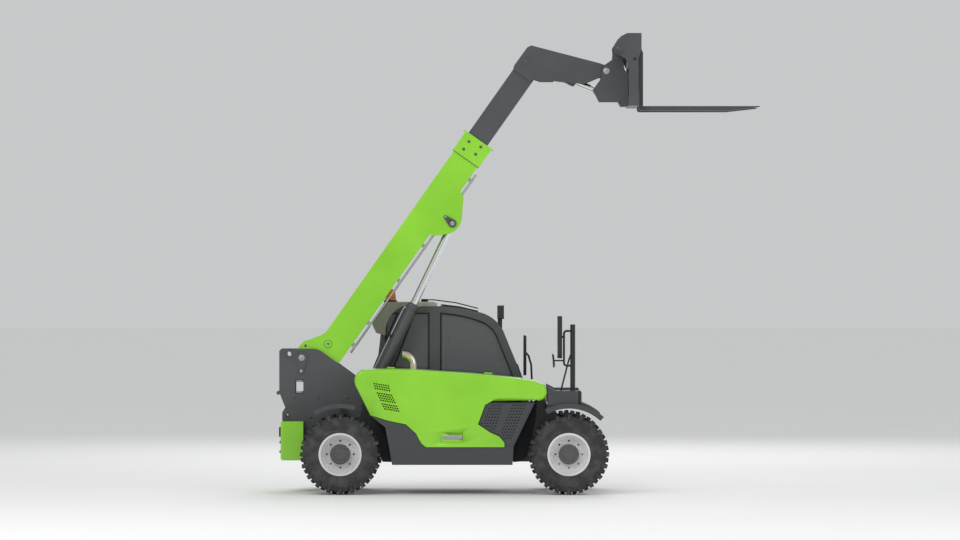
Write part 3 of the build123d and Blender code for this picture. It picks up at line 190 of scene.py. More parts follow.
def sprayed_enamel(name, deep, light, roughness, coat, peel=0.05):
    """Enamel with orange peel, slight shade changes and a rougher tan-grey tint in speckles low down."""
    finish, shader, place = start_finish(name, deep, Roughness=roughness, Coat_Weight=coat,
                                         Coat_Roughness=0.12, Metallic=0.0)
    paint = shade(noise(place, 1.7, 3.0), deep, light, 0.35, 0.70)
    height = add_node(shader, "SeparateXYZ", inputs={"Vector": place}).outputs["Z"]
    low = spread(height, 0.0, MOST_LOW_TINT, LOW_TINT_TOP, LOW_TINT_FULL)
    speckle = noise(place, 26.0, 6.0)
    low_tint = add_node(shader, "Math", {"operation": "MULTIPLY"}, {0: low, 1: speckle}).outputs["Value"]
    colour = add_node(shader, "MixRGB", inputs={"Fac": low_tint, "Color1": paint, "Color2": linear(LOW_TINT_COLOUR)})
    feed(shader, "Base Color", colour.outputs["Color"])
    dull = spread(low_tint, roughness, LOW_ROUGHNESS, 0.0, MOST_LOW_TINT)
    feed(shader, "Roughness", dull)
    raise_skin(shader, noise(place, 1 / PEEL_SIZE, 1.0), peel, 0.0006)
    return finish


panel_green = sprayed_enamel("green_enamel", "#84CC1E", "#92DA2A", 0.30, 0.35)
frame_enamel = sprayed_enamel("graphite_enamel", "#434447", "#4D4E52", 0.42, 0.10, 0.10)
fork_enamel = sprayed_enamel("black_fork_enamel", "#36373A", "#434448", 0.48, 0.05, 0.15)
wheel_silver = sprayed_enamel("silver_wheel_enamel", "#CFCFD0", "#E4E4E4", 0.34, 0.20, 0.04)
print("enamels:", panel_green.name, frame_enamel.name, fork_enamel.name, wheel_silver.name)

# %% [markdown]
# ## Rubber
# A tyre is black-filled natural rubber, moulded and then left matt. Its skin has a fine pebble from the
# mould and browner, paler streaks where it has scuffed. Both come from noise at two scales.

# %% Moulded tyre rubber


def moulded_rubber(name, deep, worn, pebble):
    """Matt rubber with a pebbled skin and scuffed, paler patches."""
    finish, shader, place = start_finish(name, deep, Roughness=0.82, Specular_IOR_Level=0.35)
    scuffs = noise(place, 9.0, 7.0, Roughness=0.62)
    feed(shader, "Base Color", shade(scuffs, deep, worn, 0.42, 0.74))
    raise_skin(shader, noise(place, 1 / pebble, 2.0), 0.35, 0.0012)
    return finish


tyre_rubber = moulded_rubber("tyre_rubber", "#363638", "#525253", 0.005)
hose_rubber = moulded_rubber("hose_rubber", "#1B1B1D", "#2A2A2C", 0.003)
seal_rubber = moulded_rubber("window_seal_rubber", "#141416", "#222224", 0.004)
print("rubbers:", tyre_rubber.name, hose_rubber.name, seal_rubber.name)

# %% [markdown]
# ## Bright metal
# A piston rod is hard chrome over ground steel: nearly a mirror, with fine marks round it from grinding. The
# exhaust is polished stainless, which turns straw-coloured where it runs hot. A metal keeps the shader's own
# IOR, and its colour is its reflectance.

# %% Hard chrome, polished stainless and zinc plate
GRINDING_LEAN = 64.3         # degrees that the lift cylinder's rod leans, across which its marks run
rod_chrome, shader, place = start_finish("hard_chrome", "#E3E5E8", Metallic=1.0, Roughness=0.10)
stretch = add_node(shader, "Mapping", inputs={"Vector": place, "Rotation": (0, radians(GRINDING_LEAN), 0),
                                            "Scale": (420, 6, 6)})
marks = spread(noise(stretch.outputs["Vector"], 1.0, 3.0), 0.06, 0.24)
feed(shader, "Roughness", marks)

pipe_stainless, shader, place = start_finish("polished_stainless", "#DCDBD6", Metallic=1.0,
                                             Roughness=0.16)
heat = noise(place, 14.0, 2.0)
feed(shader, "Base Color", shade(heat, "#E4E3DF", "#C9B893", 0.0, 0.8))
feed(shader, "Roughness", spread(heat, 0.10, 0.30))

zinc_steel, shader, place = start_finish("zinc_plated_steel", "#A9ABAD", Metallic=1.0, Roughness=0.42)
spangle = add_node(shader, "TexVoronoi", inputs={"Vector": place, "Scale": 320.0}).outputs["Distance"]
feed(shader, "Roughness", spread(spangle, 0.34, 0.58))
print("metals:", rod_chrome.name, pipe_stainless.name, zinc_steel.name)

# %% [markdown]
# ## Plastics
# The roof is vacuum-formed ABS with a leather-like grain, the trim is injection-moulded polypropylene with a
# finer spark-eroded grain. A Voronoi cell is a good stand-in for both: the cell size is the grain size, and
# the cells' darker valleys are painted shade. The near-black sheet behind the vents and the grille's holes is
# painted shade in the openings, with a bump far finer than either grain.

# %% Grained mouldings and the painted shade backing


def grained_plastic(name, colour, shadow, grain, roughness):
    """A moulded skin whose cells are one grain wide, with painted shade darkening their valleys."""
    finish, shader, place = start_finish(name, colour, Roughness=roughness, Specular_IOR_Level=0.4)
    cells = add_node(shader, "TexVoronoi", inputs={"Vector": place, "Scale": 1 / grain}).outputs["Distance"]
    # the darker cell valleys are painted shade
    feed(shader, "Base Color", shade(cells, colour, shadow, 0.0, 0.9))
    raise_skin(shader, cells, 0.25, 0.0008, invert=True)
    return finish


# the second colour of each is its painted valley shade
roof_plastic = grained_plastic("vacuum_formed_abs", "#A8A49A", "#8F8C83", 0.004, 0.55)
trim_plastic = grained_plastic("moulded_polypropylene", "#303135", "#222326", 0.003, 0.60)
guard_plastic = grained_plastic("moulded_polyethylene", "#4B4C50", "#3C3D40", 0.003, 0.50)

# a near-black sheet that stands in for the shade inside the vents and holes: painted shade
shade_backing, shader, place = start_finish("painted_shade_backing", "#121214", Roughness=0.95)
raise_skin(shader, noise(place, 900.0, 2.0), 0.6, 0.001)
print("plastics:", roof_plastic.name, trim_plastic.name, guard_plastic.name, shade_backing.name)

# %% [markdown]
# ## Glass and lenses
# Cab glass is tinted float glass, seen here as a grey pane with the seat a shadow behind it. Lamp lenses are
# clear polycarbonate with ribs, and the beacon is the same plastic dyed amber. The ribs are a wave bump.

# %% Tinted glass, ribbed lenses and mirror
WAVE_TO_METRES = 0.314       # a wave texture's scale for one band in a metre
cab_glass, shader, place = start_finish("tinted_float_glass", "#7C7F82", Roughness=0.03,
                                        Transmission_Weight=0.55, IOR=1.5)
feed(shader, "Roughness", spread(noise(place, 3.0, 4.0), 0.01, 0.09))


def waves(place, width, axis, distortion=0.0):
    """Straight bands of a width in metres, as an output to link."""
    inputs = {"Vector": place, "Scale": WAVE_TO_METRES / width, "Distortion": distortion}
    return add_node(place, "TexWave", {"bands_direction": axis}, inputs).outputs["Fac"]


def ribbed_lens(name, colour, transmission, rib, axis):
    """Clear plastic with straight ribs, one rib wide in metres, for lamps and beacons."""
    finish, shader, place = start_finish(name, colour, Roughness=0.12, IOR=1.58,
                                         Transmission_Weight=transmission)
    raise_skin(shader, waves(place, rib, axis), 0.5, 0.002)
    return finish


lamp_lens = ribbed_lens("ribbed_polycarbonate", "#E9ECEC", 0.45, 0.012, "Y")
amber_dome = ribbed_lens("amber_polycarbonate", "#F07C10", 0.30, 0.008, "Z")
red_lens = ribbed_lens("red_polycarbonate", "#B01512", 0.25, 0.010, "Y")
mirror_glass, shader, place = start_finish("silvered_mirror", "#D9DDE0", Metallic=1.0, Roughness=0.03)
feed(shader, "Roughness", spread(noise(place, 22.0, 3.0), 0.01, 0.10))
print("glass:", cab_glass.name, lamp_lens.name, amber_dome.name, red_lens.name, mirror_glass.name)

# %% [markdown]
# ## Cloth and castings
# The seat is woven polyester. Its threads are drawn 2.5 mm apart, coarser than real ones, so that they show.
# The engine is a grey casting, whose sand-cast skin is a coarse noise.

# %% Woven seat cloth and cast iron
THREAD = 0.0025
seat_cloth, shader, place = start_finish("woven_polyester", "#26272B", Roughness=0.92,
                                         Sheen_Weight=0.35, Sheen_Roughness=0.5)
warp, weft = (waves(place, THREAD, axis, 0.4) for axis in "YZ")
weave = add_node(shader, "Math", {"operation": "MULTIPLY"}, {0: warp, 1: weft}).outputs["Value"]
# the weave's colour follows its bump: painted shade in the gaps between threads and a painted highlight on
# their crossings
feed(shader, "Base Color", shade(weave, "#1E1F22", "#3A3B40"))
raise_skin(shader, weave, 0.5, 0.001)

engine_iron, shader, place = start_finish("sand_cast_iron", "#4C4D50", Metallic=0.6, Roughness=0.72)
raise_skin(shader, noise(place, 180.0, 5.0), 0.6, 0.002)
print("cloth and iron:", seat_cloth.name, engine_iron.name)

# %% [markdown]
# ## Finishes on the frame's own solids
# Where a solid's shape is already right it only needs its finish. One table says which finish goes on which.

# %% Give each solid its finish
finish_of = {
    panel_green: ("counterweight", "bay_wall", "hood", "boom_outer"),
    frame_enamel: ("chassis_frame", "boom_tower", "front_axle", "rear_axle", "cab_frame", "door_frame",
                   "boom_inner", "lift_barrel", "tilt_barrel", "hitch", "fork_carriage",
                   *("knuckle_" + corner for corner in corners)),
    guard_plastic: ("pod_tub", "step_skirt", "front_guards", "rear_guards"),
    fork_enamel: ("forks",),
    wheel_silver: tuple("rim_" + corner for corner in corners),
    tyre_rubber: tuple("tyre_" + corner for corner in corners),
    rod_chrome: ("lift_rod", "tilt_rod"),
    zinc_steel: ("boom_pipes",),
    pipe_stainless: ("exhaust_pipe",),
    roof_plastic: ("cab_roof",),
    trim_plastic: ("mirror_mast", "seat_base", "console", "work_lamps"),
    cab_glass: ("cab_glass", "door_glass"),
    lamp_lens: ("headlamps",),
    amber_dome: ("beacon",),
    seat_cloth: ("seat",),
    engine_iron: ("engine_block",),
}
for finish, names in finish_of.items():
    for name in names:
        mesh = frame["nodes"][name].data
        mesh.materials.clear()
        mesh.materials.append(finish)
unfinished = set(frame["nodes"]) - {name for names in finish_of.values() for name in names}
print("solids finished:", sum(len(names) for names in finish_of.values()), "left over:", sorted(unfinished))

# %% [markdown]
# ## Making pieces
# New pieces start as a bmesh: a section spun round an axis, an outline pushed out, a ring of bolts. Sheet
# metal and castings have no knife edges, so a piece gets a small bevel before it is handed to a body.

# %% From a bmesh to a riding piece
WELD = 1e-6                  # metres under which two points are one
CORNER_ANGLE = 35            # degrees between two faces that make their edge a corner to bevel


def at(ahead, height, y):
    """A point from millimetres ahead of the rear axle, above the ground and to the left."""
    return Vector((rear_axle_x + ahead / 1000, y / 1000, height / 1000))


def side_outline(y, pairs):
    """Points at one y, from pairs of millimetres ahead of the rear axle and above the ground."""
    return [at(ahead, height, y) for ahead, height in pairs]


def end_face(ahead, y, half, low, high):
    """The corners of an upright face that looks along the machine, all in millimetres."""
    return [at(ahead, height, y + across)
            for across, height in ((-half, low), (half, low), (half, high), (-half, high))]


def as_mesh(name, shape):
    """Turns a bmesh into a named mesh and frees it."""
    mesh = bpy.data.meshes.new(name)
    shape.to_mesh(mesh)
    shape.free()
    return mesh


def copy_of(mesh, move=None, weld=False):
    """A new bmesh from a mesh, moved by a matrix; welding joins faces that don't share corners."""
    shape = bmesh.new()
    shape.from_mesh(mesh)
    if weld:
        bmesh.ops.remove_doubles(shape, verts=shape.verts, dist=WELD)
    if move is not None:
        bmesh.ops.transform(shape, matrix=move, verts=shape.verts)
    return shape


def round_edges(shape, edges, offset):
    """Bevels edges with two segments, which is enough to catch a highlight."""
    bmesh.ops.bevel(shape, geom=edges, offset=offset, offset_type="OFFSET", segments=2, profile=0.5,
                    affect="EDGES", clamp_overlap=True, material=-1)


def place_piece(name, shape, finish, body, bevel=0.0, sharp=32):
    """Bevels and smooths a bmesh, turns it into a named object and rides it on a body."""
    bmesh.ops.remove_doubles(shape, verts=shape.verts, dist=WELD)
    if bevel:
        edges = [e for e in shape.edges if e.is_manifold and e.calc_face_angle() > radians(CORNER_ANGLE)]
        round_edges(shape, edges, bevel)
    for face in shape.faces:
        face.smooth = True
    bmesh.ops.recalc_face_normals(shape, faces=shape.faces)
    mesh = as_mesh(name, shape)
    mesh.set_sharp_from_angle(angle=radians(sharp))
    mesh.materials.append(finish)
    piece = as_object(name, mesh)
    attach(piece, body)
    print(name, "has", len(mesh.polygons), "faces and rides on", body)
    return piece


def spun(shape, profile, steps, centre, axis=(0, 1, 0)):
    """Spins a closed profile of (distance along the axis, radius) once round the axis at centre."""
    turn = Vector((0, 1, 0)).rotation_difference(Vector(axis)).to_matrix().to_4x4()
    verts = [shape.verts.new(centre + turn @ Vector((0, along, radius))) for along, radius in profile]
    edges = [shape.edges.new((a, b)) for a, b in zip(verts, verts[1:] + verts[:1])]
    bmesh.ops.spin(shape, geom=verts + edges, cent=centre, axis=axis, angle=2 * pi, steps=steps,
                   use_merge=True, use_normal_flip=False)


def thickened(shape, faces, push):
    """Pushes faces along a vector into closed blocks."""
    grown = bmesh.ops.extrude_face_region(shape, geom=faces, use_keep_orig=True)
    moved = [item for item in grown["geom"] if isinstance(item, bmesh.types.BMVert)]
    bmesh.ops.translate(shape, verts=moved, vec=push)


def pushed(shape, corners, push):
    """A closed block: a flat outline of points, pushed along a vector."""
    thickened(shape, [shape.faces.new([shape.verts.new(corner) for corner in corners])], push)


def ringed(shape, corners, width, push):
    """A closed ring that follows an outline: its rim is width wide and it is pushed along a vector."""
    face = shape.faces.new([shape.verts.new(corner) for corner in corners])
    face.normal_update()
    rim = bmesh.ops.inset_region(shape, faces=[face], thickness=width, use_boundary=True,
                                 use_even_offset=True)["faces"]
    bmesh.ops.delete(shape, geom=[face], context="FACES_ONLY")
    thickened(shape, rim, push)


def rod(shape, start, end, radius, sides=20, end_radius=None):
    """A closed round bar from one point to another; six sides make a bolt head."""
    run = end - start
    turn = run.to_track_quat("Z", "Y").to_matrix().to_4x4()
    bmesh.ops.create_cone(shape, cap_ends=True, segments=sides, radius1=radius,
                          radius2=radius if end_radius is None else end_radius, depth=run.length,
                          matrix=Matrix.Translation((start + end) / 2) @ turn)


def bolt(shape, seat, out, radius):
    """A washer, a hexagon head and the rounded end of a bolt, standing out of a surface."""
    out = Vector(out).normalized()
    rod(shape, seat - out * 0.001, seat + out * radius * 0.22, radius * 1.35, 20)
    rod(shape, seat, seat + out * radius * 0.95, radius, 6)
    rod(shape, seat, seat + out * radius * 1.12, radius * 0.52, 14, radius * 0.40)


def bent_pipe(shape, points, radius, sides=12):
    """A round pipe through points: a ring at each, turned to the mean direction, then bridged."""
    rings = []
    for index, point in enumerate(points):
        before, after = points[max(index - 1, 0)], points[min(index + 1, len(points) - 1)]
        turn = (after - before).to_track_quat("Z", "Y").to_matrix().to_4x4()
        made = bmesh.ops.create_circle(shape, cap_ends=index in (0, len(points) - 1), segments=sides,
                                       radius=radius, matrix=Matrix.Translation(point) @ turn)
        rings.append([e for e in shape.edges if all(v in made["verts"] for v in e.verts)])
    for near, far in zip(rings, rings[1:]):
        bmesh.ops.bridge_loops(shape, edges=near + far)


def bow(start, middle, end, steps=6):
    """Points of an outline that bend evenly through a middle point; the first is left out."""
    turned = []
    for step in range(1, steps + 1):
        u = step / steps
        turned.append(tuple(start[i] * (1 - u) * (1 - 2 * u) + middle[i] * 4 * u * (1 - u)
                            + end[i] * u * (2 * u - 1) for i in (0, 1)))
    return turned


def cut_away(name, shape, cutters):
    """Cuts one bmesh by another and gives back what is left as a new bmesh."""
    made = []
    for label, part in ((name + "_stock", shape), (name + "_cutter", cutters)):
        bmesh.ops.recalc_face_normals(part, faces=part.faces)
        made.append(as_object(label, as_mesh(label, part)))
    stock, cutter = made
    cut = stock.modifiers.new("cut", "BOOLEAN")
    cut.operation, cut.solver, cut.object = "DIFFERENCE", "EXACT", cutter
    left = copy_of(stock.evaluated_get(bpy.context.evaluated_depsgraph_get()).to_mesh())
    for thing in made:
        bpy.data.objects.remove(thing, do_unlink=True)
    bmesh.ops.triangulate(left, faces=left.faces)
    bmesh.ops.dissolve_degenerate(left, dist=WELD, edges=left.edges)
    return left


print("piece helpers ready")

# %% [markdown]
# ## Tyres
# The solid tyre is a ring of flats. The real one is a smooth carcass with ribs moulded in its sidewall, and
# forty slanted lugs in two rows. The carcass is a spun section. One lug is made and bevelled, then copied
# round: the second row is the first turned end for end.

# %% Spin the carcass and set the lugs
LUG_COUNT = 40
LUG_FOOT, LUG_HEIGHT = 0.354, 0.0653     # metres from the axle to a lug's buried foot, and foot to crown
LUG_BEVEL = 0.0035
SHOULDER_DROP = 0.006        # metres that a lug's shoulder end sits below its crown
half_section = [             # across the tyre from its middle plane, radius
    (0.1385, 0.2090), (0.1405, 0.2160), (0.1405, 0.2330), (0.1425, 0.2370), (0.1440, 0.2440),
    (0.1430, 0.2500), (0.1445, 0.2640), (0.1465, 0.2665), (0.1460, 0.2700), (0.1495, 0.2900),
    (0.1520, 0.2930), (0.1515, 0.2970), (0.1525, 0.3120), (0.1510, 0.3240), (0.1522, 0.3275),
    (0.1510, 0.3320), (0.1460, 0.3420), (0.1400, 0.3560), (0.1310, 0.3740), (0.1200, 0.3870),
    (0.1100, 0.3925), (0.0550, 0.3945),
]
tyre_section = half_section + [(-across, radius) for across, radius in reversed(half_section)]
lug_outline = ((0.006, -0.024), (0.110, -0.012), (0.1505, -0.012), (0.1505, 0.018), (0.110, 0.024),
               (0.006, 0.008))
origin = Vector((0, 0, 0))
tyre_shape = bmesh.new()
pushed(tyre_shape, [Vector((-along, across, LUG_FOOT)) for across, along in lug_outline],
       Vector((0, 0, LUG_HEIGHT)))
for vert in tyre_shape.verts:
    if vert.co.z > 0.4 and vert.co.y > 0.15:
        vert.co.z -= SHOULDER_DROP
round_edges(tyre_shape, [e for e in tyre_shape.edges if max(v.co.z for v in e.verts) > 0.4], LUG_BEVEL)
first_lug = tyre_shape.verts[:] + tyre_shape.edges[:] + tyre_shape.faces[:]
for lug in range(1, LUG_COUNT):
    copied = bmesh.ops.duplicate(tyre_shape, geom=first_lug)["geom"]
    turn = Matrix.Rotation(lug * 2 * pi / LUG_COUNT, 3, "Y")
    if lug % 2 == 0:
        turn = turn @ Matrix.Rotation(pi, 3, "Z")
    bmesh.ops.rotate(tyre_shape, verts=[v for v in copied if isinstance(v, bmesh.types.BMVert)],
                     cent=origin, matrix=turn)
bmesh.ops.rotate(tyre_shape, verts=[v for v in first_lug if isinstance(v, bmesh.types.BMVert)],
                 cent=origin, matrix=Matrix.Rotation(pi, 3, "Z"))
spun(tyre_shape, tyre_section, 96, origin)
bmesh.ops.recalc_face_normals(tyre_shape, faces=tyre_shape.faces)
tyre_pattern = as_mesh("tyre_pattern", tyre_shape)


def at_wheel(corner):
    """Carries a wheel drawn about the origin, facing right, to its place on one corner."""
    facing = Matrix.Rotation(pi if corner.endswith("left") else 0.0, 4, "Z")
    return Matrix.Translation(wheel_centres[corner]) @ facing


for corner in corners:
    shape = copy_of(tyre_pattern, at_wheel(corner))
    piece = place_piece("tyre_rubber_" + corner, shape, tyre_rubber, "wheel_" + corner)
    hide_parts("tyre_" + corner)

# %% [markdown]
# ## Rims and hubs
# The rim is pressed from sheet: a rolled lip each side, a well for the tyre and a disc set in from the outer
# face. Eight hand holes on a 140 mm radius show the dark behind it. The hub's casting stays dark too, with a
# ring of small bolts round its cap.

# %% Spin the rim, drill it and add the hub
lip = [                      # outwards from the wheel's middle plane, radius
    (0.1405, 0.2083), (0.1405, 0.2220), (0.1430, 0.2245), (0.1460, 0.2240), (0.1475, 0.2210),
    (0.1465, 0.2090), (0.1420, 0.2010),
]
disc = [
    (0.1240, 0.1985), (0.0840, 0.1980), (0.0840, 0.1860), (0.0820, 0.1840), (0.0640, 0.1840),
    (0.0620, 0.1820), (0.0620, 0.1660), (0.0600, 0.1640), (0.0420, 0.1640), (0.0400, 0.1620),
    (0.0400, 0.0750), (0.0240, 0.0750), (0.0240, 0.1980), (-0.1240, 0.1980),
]
rim_section = lip + disc + [(-across, radius) for across, radius in reversed(lip)]
hub_section = (
    (0.0120, 0.0640), (0.0120, 0.1050), (0.0920, 0.1050), (0.1000, 0.0970), (0.1000, 0.0640),
    (0.1060, 0.0600), (0.1090, 0.0480), (0.1090, 0.0020), (0.0900, 0.0020), (0.0900, 0.0640),
)
outwards = Vector((0, -1, 0))
HOLE_CIRCLE, HOLE_R, CAP_CIRCLE = 0.140, 0.011, 0.082
stock, drills = bmesh.new(), bmesh.new()
spun(stock, rim_section, 72, origin, outwards)
spokes = [Vector((cos(index * pi / 4), 0, sin(index * pi / 4))) for index in range(8)]
for spoke in spokes:
    hole = spoke * HOLE_CIRCLE
    rod(drills, outwards * 0.015 + hole, outwards * 0.050 + hole, HOLE_R, 16)
rim_pattern = as_mesh("rim_pattern", cut_away("rim", stock, drills))
for corner in corners:
    shape = copy_of(rim_pattern, at_wheel(corner))
    piece = place_piece("rim_pressed_" + corner, shape, wheel_silver, "wheel_" + corner)
    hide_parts("rim_" + corner)
    shape = bmesh.new()
    spun(shape, hub_section, 48, origin, outwards)
    rod(shape, outwards * 0.089, outwards * 0.1095, 0.006, 12)
    for spoke in spokes:
        bolt(shape, outwards * 0.100 + spoke * CAP_CIRCLE, outwards, 0.006)
    bmesh.ops.transform(shape, matrix=at_wheel(corner), verts=shape.verts)
    place_piece("hub_" + corner, shape, frame_enamel, "wheel_" + corner, 0.0008)

# %% [markdown]
# ## Hood with vents and a latch pocket
# Hexagonal vents are punched through the hood's rear, with a near-black sheet behind them as painted shade,
# and a shallow pocket lets a hand reach the latch. Both are cut from a copy of the hood's own solid, so its
# outline stays.

# %% Cut the vents and the pocket, add the latch
POD_FACE = -885.0            # the pod's outer face, in mm
side_push = Vector((0, -1, 0))


def lattice(station, height, columns, rows, shift, pitch, drop, fall=0.0):
    """Centres of a leaning field of holes, in mm ahead of the rear axle and above the ground."""
    return [(station + column * pitch + row * shift, height - row * drop - column * fall)
            for row in range(rows) for column in range(columns)]


def hexagons(shape, centres, radius, y, reach):
    """Six-sided cutters square to the machine's side."""
    for ahead, height in centres:
        rod(shape, at(ahead, height, y), at(ahead, height, y - reach), radius / 1000, 6)


vent_groups = (              # mm ahead, mm up, columns, rows, mm that each row shifts
    (357, 1158, 7, 3, 6),
    (389, 1060, 7, 4, 12),
    (441, 946, 7, 3, 12),
)
cutters = bmesh.new()
hexagons(cutters, [hole for group in vent_groups for hole in lattice(*group, 24, 25, 4)], 9.6,
         POD_FACE + 30, 60)
pocket = ((1045, 546), (1295, 546), (1285, 658), (1055, 658))
pushed(cutters, side_outline(POD_FACE + 8, pocket), side_push * 0.03)
shape = cut_away("hood", copy_of(frame["nodes"]["hood"].data, weld=True), cutters)
piece = place_piece("hood_panel", shape, panel_green, "hood")
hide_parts("hood")
# a near-black sheet behind the vents: painted shade
shape = bmesh.new()
pushed(shape, side_outline(POD_FACE + 17, ((335, 1180), (545, 1150), (640, 900), (430, 880))),
       side_push * 0.0015)
place_piece("vent_shade_backing", shape, shade_backing, "hood")
shape = bmesh.new()
pushed(shape, side_outline(POD_FACE + 8, ((1070, 580), (1270, 580), (1270, 624), (1070, 624))),
       side_push * 0.007)
rod(shape, at(1100, 602, POD_FACE + 2), at(1100, 602, POD_FACE - 1), 0.009, 24)
place_piece("hood_latch", shape, zinc_steel, "hood", 0.002)
shape = bmesh.new()
ringed(shape, side_outline(POD_FACE, pocket), 0.006, side_push * 0.0015)
place_piece("hood_pocket_rim", shape, panel_green, "hood", 0.0006)

# %% [markdown]
# ## Perforated panel
# The front of the engine pod breathes through a sheet of hexagonal holes on a 30 by 31 mm lattice. Each hole
# is kept clear of the sheet's edge, and a near-black sheet behind shows through as painted shade. Cutting the
# whole lattice at once keeps the holes true.

# %% Punch the panel and lay the painted shade sheet behind it
panel_outline = ((2009, 952), (1568, 952), (1522, 925), (1451, 739), (1568, 662), (1664, 621),
                 (1722, 552), (1740, 505), (1790, 505))


def clear_of_edge(ahead, height, outline, least):
    """True where a point is inside an outline and at least so far from every edge."""
    inside = False
    for (x0, z0), (x1, z1) in zip(outline, outline[1:] + outline[:1]):
        if (z0 > height) != (z1 > height) and ahead < x0 + (height - z0) * (x1 - x0) / (z1 - z0):
            inside = not inside
        run, rise = x1 - x0, z1 - z0
        share = min(max(((ahead - x0) * run + (height - z0) * rise) / (run * run + rise * rise), 0), 1)
        if (x0 + share * run - ahead) ** 2 + (z0 + share * rise - height) ** 2 < least ** 2:
            return False
    return inside


grille_fields = ((1500, 932, 7, 9, -9.5), (1799, 932, 5, 12, -13.0))
holes = [hole for field in grille_fields for hole in lattice(*field, 30, 31)]
holes = [hole for hole in holes if clear_of_edge(*hole, panel_outline, 17)]
cutters = bmesh.new()
hexagons(cutters, holes, 8.5, POD_FACE + 4, 20)
shape = bmesh.new()
pushed(shape, side_outline(POD_FACE - 1, panel_outline), side_push * 0.004)
shape = cut_away("grille", shape, cutters)
place_piece("grille_panel", shape, guard_plastic, "chassis")
shape = bmesh.new()
ringed(shape, side_outline(POD_FACE - 5, panel_outline), 0.008, side_push * 0.002)
place_piece("grille_rim", shape, guard_plastic, "chassis", 0.0008)
# a near-black sheet behind the holes: painted shade
shape = bmesh.new()
pushed(shape, side_outline(POD_FACE, panel_outline), side_push * 0.0009)
place_piece("grille_shade_backing", shape, shade_backing, "chassis")
print("punched", len(holes), "holes")

# %% [markdown]
# ## Boom, tower and their pins
# Each big pin ends in a turned disc, and most discs carry a grease nipple or a bolt. The lift cylinder's pin
# is kept from turning by a teardrop plate, bolted to the boom's bracket. Four bolts each side hold the wear
# pads in the collar.

